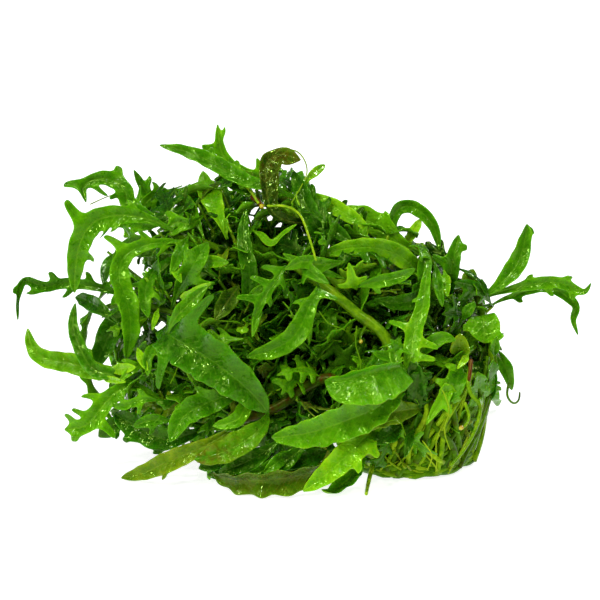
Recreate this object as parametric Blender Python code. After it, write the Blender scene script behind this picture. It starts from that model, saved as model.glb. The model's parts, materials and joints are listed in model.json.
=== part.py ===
"""A clump of cut-leaved hygrophila, an aquarium plant, as it stands when tipped out of its growing cup.

Eleven stems rise from one puck of matted roots, which the flat bottom of the cup has moulded, and lean
mostly to the left. Each leaf is a thin blade that grows from a stem. Sizes are in millimetres here and
become metres when a mesh is made. The front of the clump faces -Y, and it rests on the plane z = 0.
"""

import math

import bpy
from mathutils import Matrix, Vector

METRES_PER_MM = 0.001

# The root puck, moulded by the cup.
PUCK_MIDDLE = (22.0, 6.0)
PUCK_HALF_WIDTH = 13.0
PUCK_HALF_DEPTH = 19.0
PUCK_HEIGHT = 7.0
PUCK_SIDES = 20
# The puck's edge from the floor up: its share of the half width, and its height.
PUCK_EDGE = ((0.95, 0.0), (1.0, 1.4), (0.99, 4.4), (0.95, 6.2), (0.88, PUCK_HEIGHT))
# The waves round the puck: how many, how high as a share, and where they start, in radians.
PUCK_WAVES = ((3, 0.025, 1.0), (7, 0.02, 0.0))

# Stems and leaves.
STEM_SIDES = 7
STEM_SPACING = 4.5
FEWEST_STEM_RINGS = 6
# Every third ring of a stem is a joint, which is swollen by this factor.
RINGS_TO_A_JOINT = 3
JOINT_SWELLING = 1.12
LEAF_THICK = 0.5
LEAF_SPACING = 3.4
LEAST_HALF_WIDTH = 0.35
FOOT_SHARE_OF_WIDTH = 0.14
MOSTLY_BROADEST = 0.55
FEWEST_STATIONS = 5
MOST_STATIONS = 10
# How high a blade's edges stand, as a share of its half width.
CUPPING = 0.22
# A lobe's width along its length: the share of its length, and the share of its width at the edge.
LOBE_TAPER = ((0.5, 0.55), (1.0, 0.25))
GAP = 0.3
STEPS_TO_A_SPAN = 12
STEPS_TO_A_STEM = 60
# Faces that meet at a sharper angle than this have a crisp edge between them.
CRISP_ANGLE = math.radians(50)

# The clump's front is measured as it is seen from a little above the horizon.
SIGHT_ABOVE_HORIZON = math.radians(15)
ACROSS = Vector((1, 0, 0))
UP = Vector((0, math.sin(SIGHT_ABOVE_HORIZON), math.cos(SIGHT_ABOVE_HORIZON)))
OUT = Vector((0, -math.cos(SIGHT_ABOVE_HORIZON), math.sin(SIGHT_ABOVE_HORIZON)))

# Each stem: radius at its foot, radius at its tip, and its line as (x, distance to the front, height).
STEMS = {
    "stem_low_left": (1.2, 0.7, [(13, 12, 7.3), (12, 12.6, 9.6), (4, 16, 11.5), (-10, 20, 11),
                                 (-22, 19, 12), (-32, 13.4, 15.2)]),
    "stem_left": (1.2, 0.7, [(15, 4, 7.3), (14, 4.4, 11), (4, 6, 19), (-8, 7.5, 25), (-19, 7.5, 28.5),
                             (-30, 6, 31)]),
    "stem_upper_left": (1.2, 0.7, [(17, -3, 7.3), (16, -3, 12), (8, -2, 24), (-4, -0.5, 34),
                                   (-15, 1, 41), (-26, 2, 45)]),
    "stem_top": (1.2, 0.7, [(22, -4, 7.3), (22, -4, 13), (19, -4, 26), (12, -3, 38), (5, -1, 47),
                            (0, 0, 52)]),
    "stem_top_right": (1.2, 0.7, [(25, 2, 7.3), (25.4, 2.4, 13), (24, 4, 24), (19, 6, 35), (12, 7, 44)]),
    "stem_right": (1.2, 0.7, [(29, -3, 7.3), (30.5, -3, 14), (31, -3, 23), (29, -2.5, 32), (24, 0, 42)]),
    "stem_far_right": (1.2, 0.7, [(31, 5, 7.3), (33, 4.6, 12), (36, 4, 19), (36.6, 3, 26), (35, 2, 33)]),
    "stem_front": (1.35, 0.95, [(20, 16, 7.3), (20.6, 17, 12), (20, 19, 19), (17, 17.5, 27.5),
                              (11.5, 16, 32), (6.6, 15.2, 36), (-2, 13, 42)]),
    "stem_front_low": (1.4, 0.9, [(16, 17, 7.3), (15.6, 18, 11), (13, 20, 16), (6, 21.5, 20.3),
                                  (0, 23.5, 18.5), (-4.4, 24.8, 15.5), (-12, 26, 13)]),
    "stem_back_left": (1.2, 0.7, [(18, -8, 7.3), (17, -9, 11), (8, -15, 18), (-8, -18, 26),
                                  (-24, -14, 32)]),
    "stem_back_right": (1.2, 0.7, [(26, -8, 7.3), (26.6, -9, 11), (29, -14, 18), (26, -19, 27),
                                   (17, -18, 37)]),
}

# Each leaf seen from the front: its stem, the share of the stem's length at which it grows, its width,
# its rib beyond the stem as (across, up, out), its lobes, and how far it is rolled at foot and tip.
# A lobe is the share of the rib at which it stands, its side as seen along the rib, its length, and
# how far it sweeps towards the tip, in degrees.
RIGHT = 1
LEFT = -1
FRONT_LEAVES = {
    "leaf_far_left_dangling": ("stem_left", 0.99, 2.2,
        [(-38, 31.5, 8), (-46, 33, 7), (-51, 32.2, 8), (-54.8, 33.6, 9), (-56.2, 30.6, 10),
         (-56.2, 25.6, 10)],
        [(0.42, RIGHT, 2.0, 30), (0.52, LEFT, 2.6, 40), (0.6, RIGHT, 1.8, 20), (0.72, LEFT, 2.0, 50)],
        (20, -20)),
    "leaf_left_arch": ("stem_upper_left", 0.97, 4.8,
        [(-30, 45.6, 15), (-36, 46.4, 16), (-41, 45, 16.5), (-43.6, 41, 16), (-44.6, 36, 15),
         (-44.8, 31, 14)],
        [(0.6, RIGHT, 4.6, -15), (0.75, LEFT, 1.6, 30)], (10, -10)),
    "leaf_upper_left_loop": ("stem_upper_left", 0.9, 3.4,
        [(-33, 47.6, 9), (-34.8, 51.4, 8), (-37.6, 53.6, 7), (-41, 53.6, 7), (-43.4, 52, 8),
         (-42.6, 49, 9)],
        [(0.45, RIGHT, 3.6, 40), (0.58, LEFT, 1.8, -10), (0.7, RIGHT, 1.6, 20), (0.84, LEFT, 3.4, -30),
         (0.9, RIGHT, 3.0, 30)], (0, 0)),
    "leaf_left_pale_crescent": ("stem_low_left", 0.94, 4.2,
        [(-34.4, 14.4, 17.4), (-40, 15.2, 13.6), (-45.6, 17, 12), (-50.4, 17.8, 11), (-53.2, 20, 10),
         (-54.2, 24, 9)],
        [], (15, 0)),
    "leaf_left_sickle": ("stem_low_left", 0.87, 2.9,
        [(-36, 14.4, 21), (-40.8, 15.8, 20), (-43.4, 19.8, 19), (-45, 24.4, 17.5), (-44.6, 29, 15)],
        [], (-15, 15)),
    "leaf_left_olive": ("stem_left", 0.96, 5.0,
        [(-35.6, 26.4, 11), (-37.6, 23, 10.5), (-39.4, 19.4, 10), (-41, 15.4, 9)],
        [], (10, 20)),
    "leaf_left_hanging": ("stem_upper_left", 0.84, 4.4,
        [(-27, 41, 17), (-34, 39, 19), (-36, 34.6, 20.5), (-34.4, 29.6, 21.5), (-33.6, 24, 21.5),
         (-34.4, 17.8, 20.5)],
        [(0.45, RIGHT, 4.0, 10), (0.58, LEFT, 2.2, 40), (0.7, RIGHT, 1.4, 40)], (0, -15)),
    "leaf_low_left_forked": ("stem_low_left", 0.82, 3.8,
        [(-33, 12.6, 23), (-37.4, 10.4, 24), (-40, 7.4, 24.5), (-42.4, 4.8, 24.5), (-46.6, 4, 23.5)],
        [(0.5, LEFT, 2.2, 40), (0.62, RIGHT, 3.2, 35), (0.78, LEFT, 3.8, 10), (0.8, RIGHT, 2.6, 20),
         (0.92, RIGHT, 2.4, 40)], (10, 0)),
    "leaf_low_left_broad": ("stem_low_left", 0.66, 5.4,
        [(-22, 3, 25), (-27, 2.2, 25), (-32, 4.4, 23.5), (-36.8, 7.2, 21)],
        [(0.5, LEFT, 1.4, 30), (0.75, LEFT, 1.2, 30)], (-20, 0)),
    "leaf_low_left_yellow": ("stem_front_low", 0.99, 4.2,
        [(-17.4, 1.6, 30), (-22.4, -0.8, 29), (-26.6, -2.6, 27.4), (-30.6, -4.4, 25), (-35.4, -5.6, 23)],
        [(0.62, LEFT, 1.4, 40)], (0, 10)),
    "leaf_floor_boat": ("stem_low_left", 0.28, 5.8,
        [(4.4, -1.4, 28), (2, -4.4, 33.4), (-3, -5.5, 35.2), (-8, -5.9, 35), (-13, -5.9, 32.2),
         (-17.2, -4.6, 28.4)],
        [], (-32, -32)),
    "leaf_front_forked": ("stem_front_low", 0.2, 5.4,
        [(14.6, 4.6, 30), (12.2, 2, 34), (9.4, -0.6, 36.4), (6, -3.8, 37.6), (3, -6.2, 38), (0.6, -8, 37.6)],
        [(0.36, RIGHT, 1.8, 20), (0.45, LEFT, 2.2, 0), (0.6, LEFT, 1.6, 30)], (0, 0)),
    "leaf_front_brown_tip": ("stem_front_low", 0.85, 5.4,
        [(-7.6, 4.6, 33.5), (-11.6, 1.4, 35), (-16.2, -0.8, 34.6), (-20.8, -1.8, 33)],
        [], (10, 20)),
    "leaf_front_long": ("stem_front", 0.26, 7.2,
        [(19, 11.6, 32), (14.6, 8.2, 35.2), (8.6, 5.8, 37.4), (1.8, 3.6, 37.8), (-5.6, 2.6, 36)],
        [], (-10, -15)),
    "leaf_front_folded": ("stem_front", 0.4, 6.2,
        [(19.4, 15.6, 33), (16, 12.2, 37), (11.6, 11.2, 38.4), (8, 12, 38.4), (5.4, 14.6, 37.4)],
        [], (0, 20)),
    "leaf_front_broad": ("stem_left", 0.88, 9.4,
        [(-26.4, 24.6, 22), (-25.6, 22.6, 29.4), (-21, 20, 33), (-15, 16, 35), (-9.6, 11.4, 35.4),
         (-6.2, 7.4, 34.4)],
        [(0.42, RIGHT, 6.0, 5), (0.46, LEFT, 8.0, 25), (0.3, RIGHT, 1.6, 0)], (0, 10)),
    "leaf_left_glossy": ("stem_left", 0.76, 3.4,
        [(-20.4, 30.4, 19), (-22.6, 29, 25), (-21, 30.6, 29.4), (-17.4, 33, 30.2)],
        [], (0, 15)),
    "leaf_left_upright": ("stem_left", 0.92, 4.2,
        [(-24.4, 31, 17), (-23, 33.4, 21), (-20.8, 37, 24.6), (-18.2, 41, 22.6)],
        [(0.6, RIGHT, 4.0, 20), (0.75, LEFT, 1.4, 40)], (20, -10)),
    "leaf_centre_upright": ("stem_left", 0.5, 3.4,
        [(-9.6, 29, 20), (-10, 35, 21.5), (-11, 40, 20.6), (-11.2, 44, 18.6), (-10.6, 47.6, 17)],
        [], (0, 10)),
    "leaf_centre_feathered": ("stem_front", 0.97, 1.8,
        [(-3.2, 35.8, 28), (-5, 33, 29), (-7.2, 30, 29.6), (-8.8, 26.4, 29.6), (-9.4, 22.8, 29)],
        [(0.25, RIGHT, 3.4, 20), (0.45, RIGHT, 3.8, 15), (0.65, RIGHT, 4.2, 25), (0.3, LEFT, 2.4, 40)],
        (0, 0)),
    "leaf_centre_swoop": ("stem_front", 0.85, 4.4,
        [(3.4, 31, 29), (1.6, 28, 30), (0.2, 24.6, 31), (-2.4, 21.4, 31.8), (-6, 19.6, 32.2),
         (-10.6, 18.4, 31.6)],
        [(0.2, LEFT, 3.4, 0), (0.52, LEFT, 2.4, 60), (0.3, RIGHT, 2.0, 40)], (0, -15)),
    "leaf_upper_right_pale": ("stem_right", 0.7, 4.4,
        [(23, 36, 14), (19, 38.8, 17), (14.4, 40, 19.6), (9, 39.8, 20.6), (4, 38.4, 20.4)],
        [], (-20, 10)),
    "leaf_right_tongue": ("stem_right", 0.5, 4.0,
        [(26.4, 30.6, 15), (22.6, 29.6, 19), (19, 29, 21), (14.6, 29.8, 22)],
        [], (0, 0)),
    "leaf_right_bright_forked": ("stem_right", 0.84, 3.0,
        [(25.6, 36.6, 17), (24.8, 32.6, 21), (24.2, 28.2, 24), (22.8, 24.2, 26), (22, 20.2, 28),
         (21.2, 14, 30)],
        [(0.72, RIGHT, 3.8, -15), (0.76, LEFT, 3.6, 10), (0.88, LEFT, 3.4, 0), (0.5, RIGHT, 1.2, 30)],
        (0, 0)),
    "leaf_right_frilled": ("stem_right", 0.2, 3.2,
        [(32, 15.4, 20), (30, 13.6, 25), (28.4, 10.6, 28), (26.6, 8, 30), (24.8, 5, 31)],
        [(0.45, RIGHT, 1.6, 10), (0.6, RIGHT, 1.8, 10), (0.6, LEFT, 1.4, 20), (0.75, RIGHT, 1.6, 0),
         (0.85, LEFT, 2.2, 30)], (0, 0)),
    "leaf_top_left_long": ("stem_top", 0.96, 3.4,
        [(-5, 51.6, 15), (-10, 53, 14), (-14, 55, 13), (-18.4, 57.4, 12), (-23, 59.2, 11), (-28, 60.4, 10)],
        [(0.5, RIGHT, 1.2, 20), (0.68, RIGHT, 1.2, 20)], (0, 20)),
    "leaf_top_antler": ("stem_top", 0.99, 2.6,
        [(-8, 53.6, 10), (-13, 55.8, 9.4), (-15.4, 58.6, 9), (-16.2, 62, 9), (-16.4, 64.6, 9)],
        [(0.4, RIGHT, 3.0, 30), (0.6, LEFT, 1.6, 30), (0.8, LEFT, 2.6, 20), (0.9, RIGHT, 1.6, 60)], (0, 0)),
    "leaf_top_folded": ("stem_top", 0.87, 4.6,
        [(-1, 45, 16), (-5.6, 47, 17.4), (-6.8, 52.6, 16.2), (-6.6, 57, 14.4), (-3.8, 58.6, 13.6),
         (0.2, 57.4, 14)],
        [], (10, 0)),
    "leaf_top_dark": ("stem_top", 0.72, 4.2,
        [(4, 43.6, 16.6), (1.8, 47.4, 17), (0.2, 51.4, 15.2), (-1.4, 55.2, 12.2)],
        [], (-15, -15)),
    "leaf_upper_right_strap": ("stem_top_right", 0.99, 3.4,
        [(13, 43.8, 17), (10.4, 45.8, 16), (6, 48.4, 15.2), (1.6, 50.8, 13.8)],
        [], (20, 10)),
    "leaf_upper_right_broad": ("stem_right", 0.93, 5.0,
        [(19.6, 41, 13), (16.2, 43.8, 13.4), (12, 46.2, 12.6), (7.6, 47.6, 11.6)],
        [(0.55, RIGHT, 1.0, 30)], (0, 15)),
    "leaf_right_hoop": ("stem_right", 0.99, 2.9,
        [(19.4, 42, 8), (18.4, 45.8, 7), (20.6, 48.4, 6.8), (24, 47.4, 7.4), (26.8, 44, 8),
         (27.8, 39.4, 8.6)],
        [], (25, -10)),
    "leaf_right_horn": ("stem_right", 0.62, 3.2,
        [(30, 33.6, 10), (30.2, 36, 11), (30.8, 39.4, 11), (31.6, 42.6, 10.4)],
        [(0.62, LEFT, 2.8, 20), (0.85, RIGHT, 1.2, 10)], (0, 0)),
    "leaf_right_sword": ("stem_far_right", 0.99, 4.2,
        [(37.6, 31, 11.6), (41.8, 34.8, 11), (44.2, 39.4, 10), (45.2, 44.8, 9)],
        [(0.85, RIGHT, 1.2, 20)], (-25, 20)),
    "leaf_far_right_lobed": ("stem_far_right", 0.93, 2.7,
        [(40, 31.2, 10.4), (45.6, 32.6, 9.4), (50.4, 33.2, 8.4), (54.4, 32, 7.6), (56.6, 31, 7.2),
         (58, 33, 7)],
        [(0.42, LEFT, 1.0, 30), (0.55, RIGHT, 1.8, 30), (0.7, LEFT, 1.2, 40), (0.8, RIGHT, 1.4, 20)], (0, 0)),
    "leaf_far_right_trailing": ("stem_far_right", 0.84, 2.2,
        [(39.6, 29.4, 7.6), (44, 31, 6.4), (48.6, 32.2, 5.6), (52, 31, 5.2), (55, 28.4, 5), (54.4, 25.6, 5.4),
         (55.4, 22.6, 6)],
        [(0.3, RIGHT, 1.2, 20)], (10, -20)),
    "leaf_right_round": ("stem_far_right", 0.76, 6.6,
        [(36.2, 26.6, 13.4), (36.5, 25.4, 15.6), (36.6, 23.4, 16.6), (36.4, 21, 16.8)],
        [], (0, 0)),
    "leaf_right_drooping": ("stem_far_right", 0.6, 2.8,
        [(38.8, 19.6, 9), (40.4, 17.2, 9.4), (41.4, 14.6, 9.2), (42.2, 11.6, 8.4)],
        [], (0, -20)),
    "leaf_right_wall": ("stem_far_right", 0.48, 5.6,
        [(35.4, 17, 13), (36.8, 13.6, 14), (37.2, 9, 13.6)],
        [], (0, 20)),
}

# The share of the rib at which a blade is broadest, where it isn't the usual one.
BROADEST = {
    "leaf_right_round": 0.74,
    "leaf_right_wall": 0.6,
    "leaf_front_folded": 0.5,
    "leaf_floor_boat": 0.6,
    "leaf_left_hanging": 0.72,
    "leaf_left_upright": 0.7,
    "leaf_low_left_broad": 0.68,
    "leaf_upper_right_broad": 0.62,
    "leaf_low_left_forked": 0.75,
}

# Each leaf of the sides and back: stem, share, width, its rib as (x, distance to the front, height),
# its lobes, and the way that it faces, in the same axes.
HIDDEN_LEAVES = {
    "leaf_back_left_high": ("stem_back_left", 0.9, 4.6,
        [(-22, -19, 34.6), (-26, -23.6, 39.6), (-29, -26, 44)], [(0.5, LEFT, 2.6, 35), (0.6, RIGHT, 2.6, 35)],
        (0, -1, 0.3)),
    "leaf_back_left": ("stem_back_left", 0.99, 5.4,
        [(-30, -16, 29.6), (-35, -18.8, 22.4), (-35.4, -18.8, 13), (-31, -16, 6), (-25.6, -12.6, 3)],
        [(0.4, RIGHT, 2.4, 35), (0.6, LEFT, 2.4, 35)], (-0.5, -1, 0.4)),
    "leaf_back_middle": ("stem_back_left", 0.6, 6.0,
        [(-7, -23, 26), (-12, -28, 19), (-15.6, -29.6, 11), (-17.6, -28, 4.4), (-18.4, -25.4, 1.4)],
        [(0.45, LEFT, 3, 35), (0.55, RIGHT, 3, 35)], (0, -1, 0.3)),
    "leaf_back_low": ("stem_back_left", 0.3, 4.8,
        [(8, -22, 14), (4, -29, 8), (-1, -34, 2.4), (-4, -37, 0.6)], [(0.5, RIGHT, 2.4, 35)], (0, -1, 0.8)),
    "leaf_back_right_high": ("stem_back_right", 0.95, 4.4,
        [(13, -22, 38), (8, -26.4, 40.6), (2, -29, 42.4)], [(0.5, LEFT, 2.4, 35), (0.65, RIGHT, 2.2, 35)],
        (0, -1, 0.4)),
    "leaf_back_right": ("stem_back_right", 0.62, 4.8,
        [(30, -24, 28), (35, -27, 22), (38, -28, 14)], [(0.5, LEFT, 2.6, 35)], (0.5, -1, 0.3)),
    "leaf_back_right_low": ("stem_back_right", 0.3, 4.6,
        [(34, -17, 12), (38, -23, 5), (40, -29, 0.6)], [(0.55, RIGHT, 2.2, 35)], (0.5, -0.6, 0.9)),
    "leaf_side_left": ("stem_left", 0.9, 5.0,
        [(-32, -1, 34), (-38.6, -5, 31), (-42.6, -8, 23), (-42.6, -8.4, 13.6), (-38.6, -6.6, 5.6),
         (-35.6, -5.4, 2.4)],
        [(0.5, LEFT, 2.4, 35), (0.66, RIGHT, 2.4, 35)], (-1, -0.3, 0.4)),
    "leaf_crown_back": ("stem_top", 0.92, 4.8,
        [(1, -6, 52.4), (-3, -14, 53), (-8, -21, 48.6)], [(0.5, LEFT, 2.6, 35), (0.6, RIGHT, 2.6, 35)],
        (0, -0.4, 1)),
}

# Colours, in linear red, green and blue: green leaves, and the leaves that are younger, older or olive.
ROOT_COLOUR = (0.30, 0.38, 0.08, 1)
STEM_COLOUR = (0.24, 0.39, 0.02, 1)
LEAF_COLOUR = (0.05, 0.27, 0.005, 1)
YOUNG_LEAF_COLOUR = (0.15, 0.48, 0.005, 1)
OLD_LEAF_COLOUR = (0.014, 0.10, 0.004, 1)
OLIVE_LEAF_COLOUR = (0.16, 0.20, 0.008, 1)
ROOT_ROUGHNESS = 0.5
WET_ROUGHNESS = 0.3
YOUNG_LEAVES = (
    "leaf_right_bright_forked", "leaf_front_forked", "leaf_upper_right_pale", "leaf_upper_right_strap",
    "leaf_left_sickle", "leaf_left_pale_crescent", "leaf_left_glossy", "leaf_low_left_forked",
    "leaf_top_antler", "leaf_right_round", "leaf_front_long", "leaf_left_arch",
)
OLD_LEAVES = (
    "leaf_top_dark", "leaf_low_left_broad", "leaf_right_wall", "leaf_far_left_dangling", "leaf_left_olive",
    "leaf_centre_upright", "leaf_right_tongue", "leaf_back_middle", "leaf_back_right",
)
OLIVE_LEAVES = ("leaf_floor_boat", "leaf_low_left_yellow", "leaf_top_folded")


def seen(across, up, out):
    """A point of the front, in the axes of someone who looks at it from a little above."""
    return across * ACROSS + up * UP + out * OUT


def place(x, front, height):
    """A point by its distance to the front of the middle and its height."""
    return Vector((x, -front, height))


def bend_point(points, span, share):
    """A point of a Catmull-Rom curve, at this share of the span that starts at points[span]."""
    last = len(points) - 1
    a, b = points[max(span - 1, 0)], points[span]
    c, d = points[min(span + 1, last)], points[min(span + 2, last)]
    square, cube = share**2, share**3
    return 0.5 * (
        2 * b
        + (c - a) * share
        + (2 * a - 5 * b + 4 * c - d) * square
        + (3 * b - a - 3 * c + d) * cube
    )


def even_points(points, count):
    """The smooth curve through these points, as this many points at equal distances."""
    line = []
    for span in range(len(points) - 1):
        line += [bend_point(points, span, step / STEPS_TO_A_SPAN) for step in range(STEPS_TO_A_SPAN)]
    line.append(points[-1].copy())
    run = [0.0]
    for a, b in zip(line, line[1:]):
        run.append(run[-1] + (b - a).length)
    found = []
    at = 0
    for i in range(count):
        wanted = run[-1] * i / (count - 1)
        while at < len(run) - 2 and run[at + 1] < wanted:
            at += 1
        share = (wanted - run[at]) / max(run[at + 1] - run[at], 1e-9)
        found.append(line[at].lerp(line[at + 1], min(share, 1.0)))
    return found


def path_length(points):
    return sum((b - a).length for a, b in zip(points, points[1:]))


def tangents(points):
    last = len(points) - 1
    return [(points[min(i + 1, last)] - points[max(i - 1, 0)]).normalized() for i in range(last + 1)]


def carried_sides(along, first, start):
    """The sideways direction at each point, carried from one point to both ends without twisting."""
    sides = [None] * len(along)
    sides[start] = (first - first.dot(along[start]) * along[start]).normalized()
    for step, stop in ((1, len(along)), (-1, -1)):
        for i in range(start + step, stop, step):
            kept = sides[i - step]
            sides[i] = (kept - kept.dot(along[i]) * along[i]).normalized()
    return sides


def stem_solid(line, foot_radius, tip_radius):
    """A tapering round stem whose foot is cut level, with slightly swollen joints where leaves grow."""
    count = max(FEWEST_STEM_RINGS, round(path_length(line) / STEM_SPACING))
    points = even_points(line, count)
    along = tangents(points)
    along[0] = Vector((0, 0, 1))
    sides = carried_sides(along, ACROSS.copy(), 0)
    verts = []
    for i, (point, way, side) in enumerate(zip(points, along, sides)):
        share = i / (count - 1)
        radius = foot_radius + (tip_radius - foot_radius) * share
        if (i + 1) % RINGS_TO_A_JOINT == 0:
            radius *= JOINT_SWELLING
        for k in range(STEM_SIDES):
            turn = Matrix.Rotation(2 * math.pi * k / STEM_SIDES, 3, way)
            verts.append(point + turn @ side * radius)
    faces = [tuple(reversed(range(STEM_SIDES)))]
    for i in range(count - 1):
        for k in range(STEM_SIDES):
            a, b = i * STEM_SIDES + k, i * STEM_SIDES + (k + 1) % STEM_SIDES
            faces.append((a, b, b + STEM_SIDES, a + STEM_SIDES))
    faces.append(tuple((count - 1) * STEM_SIDES + k for k in range(STEM_SIDES)))
    return verts, faces


def puck_solid():
    """The flat-topped, flat-bottomed puck of roots, with a softly rounded edge."""
    verts = []
    for width, height in PUCK_EDGE:
        for k in range(PUCK_SIDES):
            angle = 2 * math.pi * k / PUCK_SIDES
            waves = sum(depth * math.sin(times * angle + start) for times, depth, start in PUCK_WAVES)
            width_here = width * (1 + waves)
            x = PUCK_MIDDLE[0] + PUCK_HALF_WIDTH * width_here * math.cos(angle)
            front = PUCK_MIDDLE[1] + PUCK_HALF_DEPTH * width_here * math.sin(angle)
            verts.append(place(x, front, height))
    faces = [tuple(range(PUCK_SIDES))]
    for i in range(len(PUCK_EDGE) - 1):
        for k in range(PUCK_SIDES):
            a, b = i * PUCK_SIDES + k, i * PUCK_SIDES + (k + 1) % PUCK_SIDES
            faces.append((a, a + PUCK_SIDES, b + PUCK_SIDES, b))
    top = (len(PUCK_EDGE) - 1) * PUCK_SIDES
    faces.append(tuple(reversed(range(top, top + PUCK_SIDES))))
    return verts, faces


def half_width(width, share, broadest):
    """Half a blade's width: a narrow foot, broadest at one place along the rib, and a pointed tip."""
    grown = min(share / broadest, 1.0)
    grown = grown * grown * (3 - 2 * grown)
    faded = math.sqrt(max(1 - (max(share - broadest, 0) / (1 - broadest)) ** 2, 0))
    narrowed = FOOT_SHARE_OF_WIDTH + (1 - FOOT_SHARE_OF_WIDTH) * grown
    return max(width / 2 * narrowed * faded, LEAST_HALF_WIDTH)


class Leaf:
    """A blade along a rib that grows from a stem, with a lobe here and there along its edges."""

    def __init__(self, name, foot, rib, width, lobes, facing, roll):
        self.name, self.width, self.lobes = name, width, lobes
        self.broadest = BROADEST.get(name, MOSTLY_BROADEST)
        line = [foot] + rib
        wanted = round(path_length(line) / LEAF_SPACING) + 1
        self.count = min(max(wanted, FEWEST_STATIONS), MOST_STATIONS)
        self.points = even_points(line, self.count)
        self.along = tangents(self.points)
        middle = self.count // 2
        flat = carried_sides(self.along, self.along[middle].cross(facing), middle)
        self.sides = []
        for i, (way, side) in enumerate(zip(self.along, flat)):
            turn = roll[0] + (roll[1] - roll[0]) * i / (self.count - 1)
            self.sides.append(Matrix.Rotation(math.radians(turn), 3, way) @ side)

    def sheet(self):
        """The blade with no thickness, front up: its points, their normals and its faces."""
        verts, normals, faces = [], [], []
        for i, (point, way, side) in enumerate(zip(self.points, self.along, self.sides)):
            normal = side.cross(way)
            half = half_width(self.width, i / (self.count - 1), self.broadest)
            raised = CUPPING * half * normal
            verts += [point - half * side + raised, point, point + half * side + raised]
            normals += [normal] * 3
        for i in range(self.count - 1):
            a = 3 * i
            faces += [(a, a + 1, a + 4, a + 3), (a + 1, a + 2, a + 5, a + 4)]
        for lobe in self.lobes:
            self.add_lobe(verts, normals, faces, *lobe)
        return verts, normals, faces

    def add_lobe(self, verts, normals, faces, share, hand, length, sweep):
        """One tapering finger of two panels, grown from the blade's edge between two stations."""
        i = min(int(share * (self.count - 1)), self.count - 2)
        near, far = 3 * i + 1 + hand, 3 * (i + 1) + 1 + hand
        way = (self.along[i] + self.along[i + 1]).normalized()
        side = (self.sides[i] + self.sides[i + 1]).normalized() * hand
        angle = math.radians(sweep)
        reach = (side * math.cos(angle) + way * math.sin(angle)) * length
        root = (verts[near] + verts[far]) / 2
        spread = (verts[far] - verts[near]) / 2
        first = len(verts)
        for reached, spread_left in LOBE_TAPER:
            middle = root + reach * reached
            verts += [middle - spread * spread_left, middle + spread * spread_left]
            normals += [normals[near]] * 2
        rings = [(near, far), (first, first + 1), (first + 2, first + 3)]
        for (a, b), (c, d) in zip(rings, rings[1:]):
            faces.append((a, b, d, c) if hand == LEFT else (b, a, c, d))

    def solid(self):
        """The closed blade: a front, a back and a rim."""
        verts, normals, faces = self.sheet()
        count = len(verts)
        half = LEAF_THICK / 2
        front = [v + n * half for v, n in zip(verts, normals)]
        back = [v - n * half for v, n in zip(verts, normals)]
        edges = {edge for face in faces for edge in zip(face, face[1:] + face[:1])}
        closed = faces + [tuple(v + count for v in reversed(face)) for face in faces]
        for a, b in sorted(edges):
            if (b, a) not in edges:
                closed.append((b, a, a + count, b + count))
        return front + back, closed


def foot_on(stem, share, towards):
    """The point at a stem's skin, a gap away from it, where a leaf grows towards its first point."""
    foot_radius, tip_radius, points = STEMS[stem]
    line = even_points([place(*p) for p in points], STEPS_TO_A_STEM)
    at = round(share * (len(line) - 1))
    way = tangents(line)[at]
    radius = foot_radius + (tip_radius - foot_radius) * share
    lean = towards - line[at]
    lean = (lean - lean.dot(way) * way).normalized()
    return line[at] + lean * (radius * JOINT_SWELLING + GAP + LEAST_HALF_WIDTH)


def all_leaves():
    leaves = []
    for name, (stem, share, width, rib, lobes, roll) in FRONT_LEAVES.items():
        points = [seen(*p) for p in rib]
        leaves.append(Leaf(name, foot_on(stem, share, points[0]), points, width, lobes, OUT, roll))
    for name, (stem, share, width, rib, lobes, facing) in HIDDEN_LEAVES.items():
        points = [place(*p) for p in rib]
        facing = place(*facing).normalized()
        leaves.append(Leaf(name, foot_on(stem, share, points[0]), points, width, lobes, facing, (0, 0)))
    return leaves


def leaf_colour(name):
    if name in YOUNG_LEAVES:
        return YOUNG_LEAF_COLOUR
    if name in OLD_LEAVES:
        return OLD_LEAF_COLOUR
    return OLIVE_LEAF_COLOUR if name in OLIVE_LEAVES else LEAF_COLOUR


def finish_of(name, colour, roughness):
    """A wet plant's surface: its own colour, no metal, and a soft gloss."""
    material = bpy.data.materials.new(name + "_finish")
    material.use_nodes = True
    shader = material.node_tree.nodes["Principled BSDF"]
    shader.inputs["Base Color"].default_value = colour
    shader.inputs["Roughness"].default_value = roughness
    shader.inputs["Metallic"].default_value = 0.0
    return material


def add_object(name, verts, faces, material, clump):
    """One named piece of the clump, its origin at the middle of its box."""
    middle = Vector([(min(v[k] for v in verts) + max(v[k] for v in verts)) / 2 for k in range(3)])
    mesh = bpy.data.meshes.new(name)
    mesh.from_pydata([(v - middle) * METRES_PER_MM for v in verts], [], faces)
    mesh.materials.append(material)
    mesh.shade_smooth()
    mesh.set_sharp_from_angle(angle=CRISP_ANGLE)
    piece = bpy.data.objects.new(name, mesh)
    piece.location = middle * METRES_PER_MM
    piece.parent = clump
    bpy.context.scene.collection.objects.link(piece)


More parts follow.
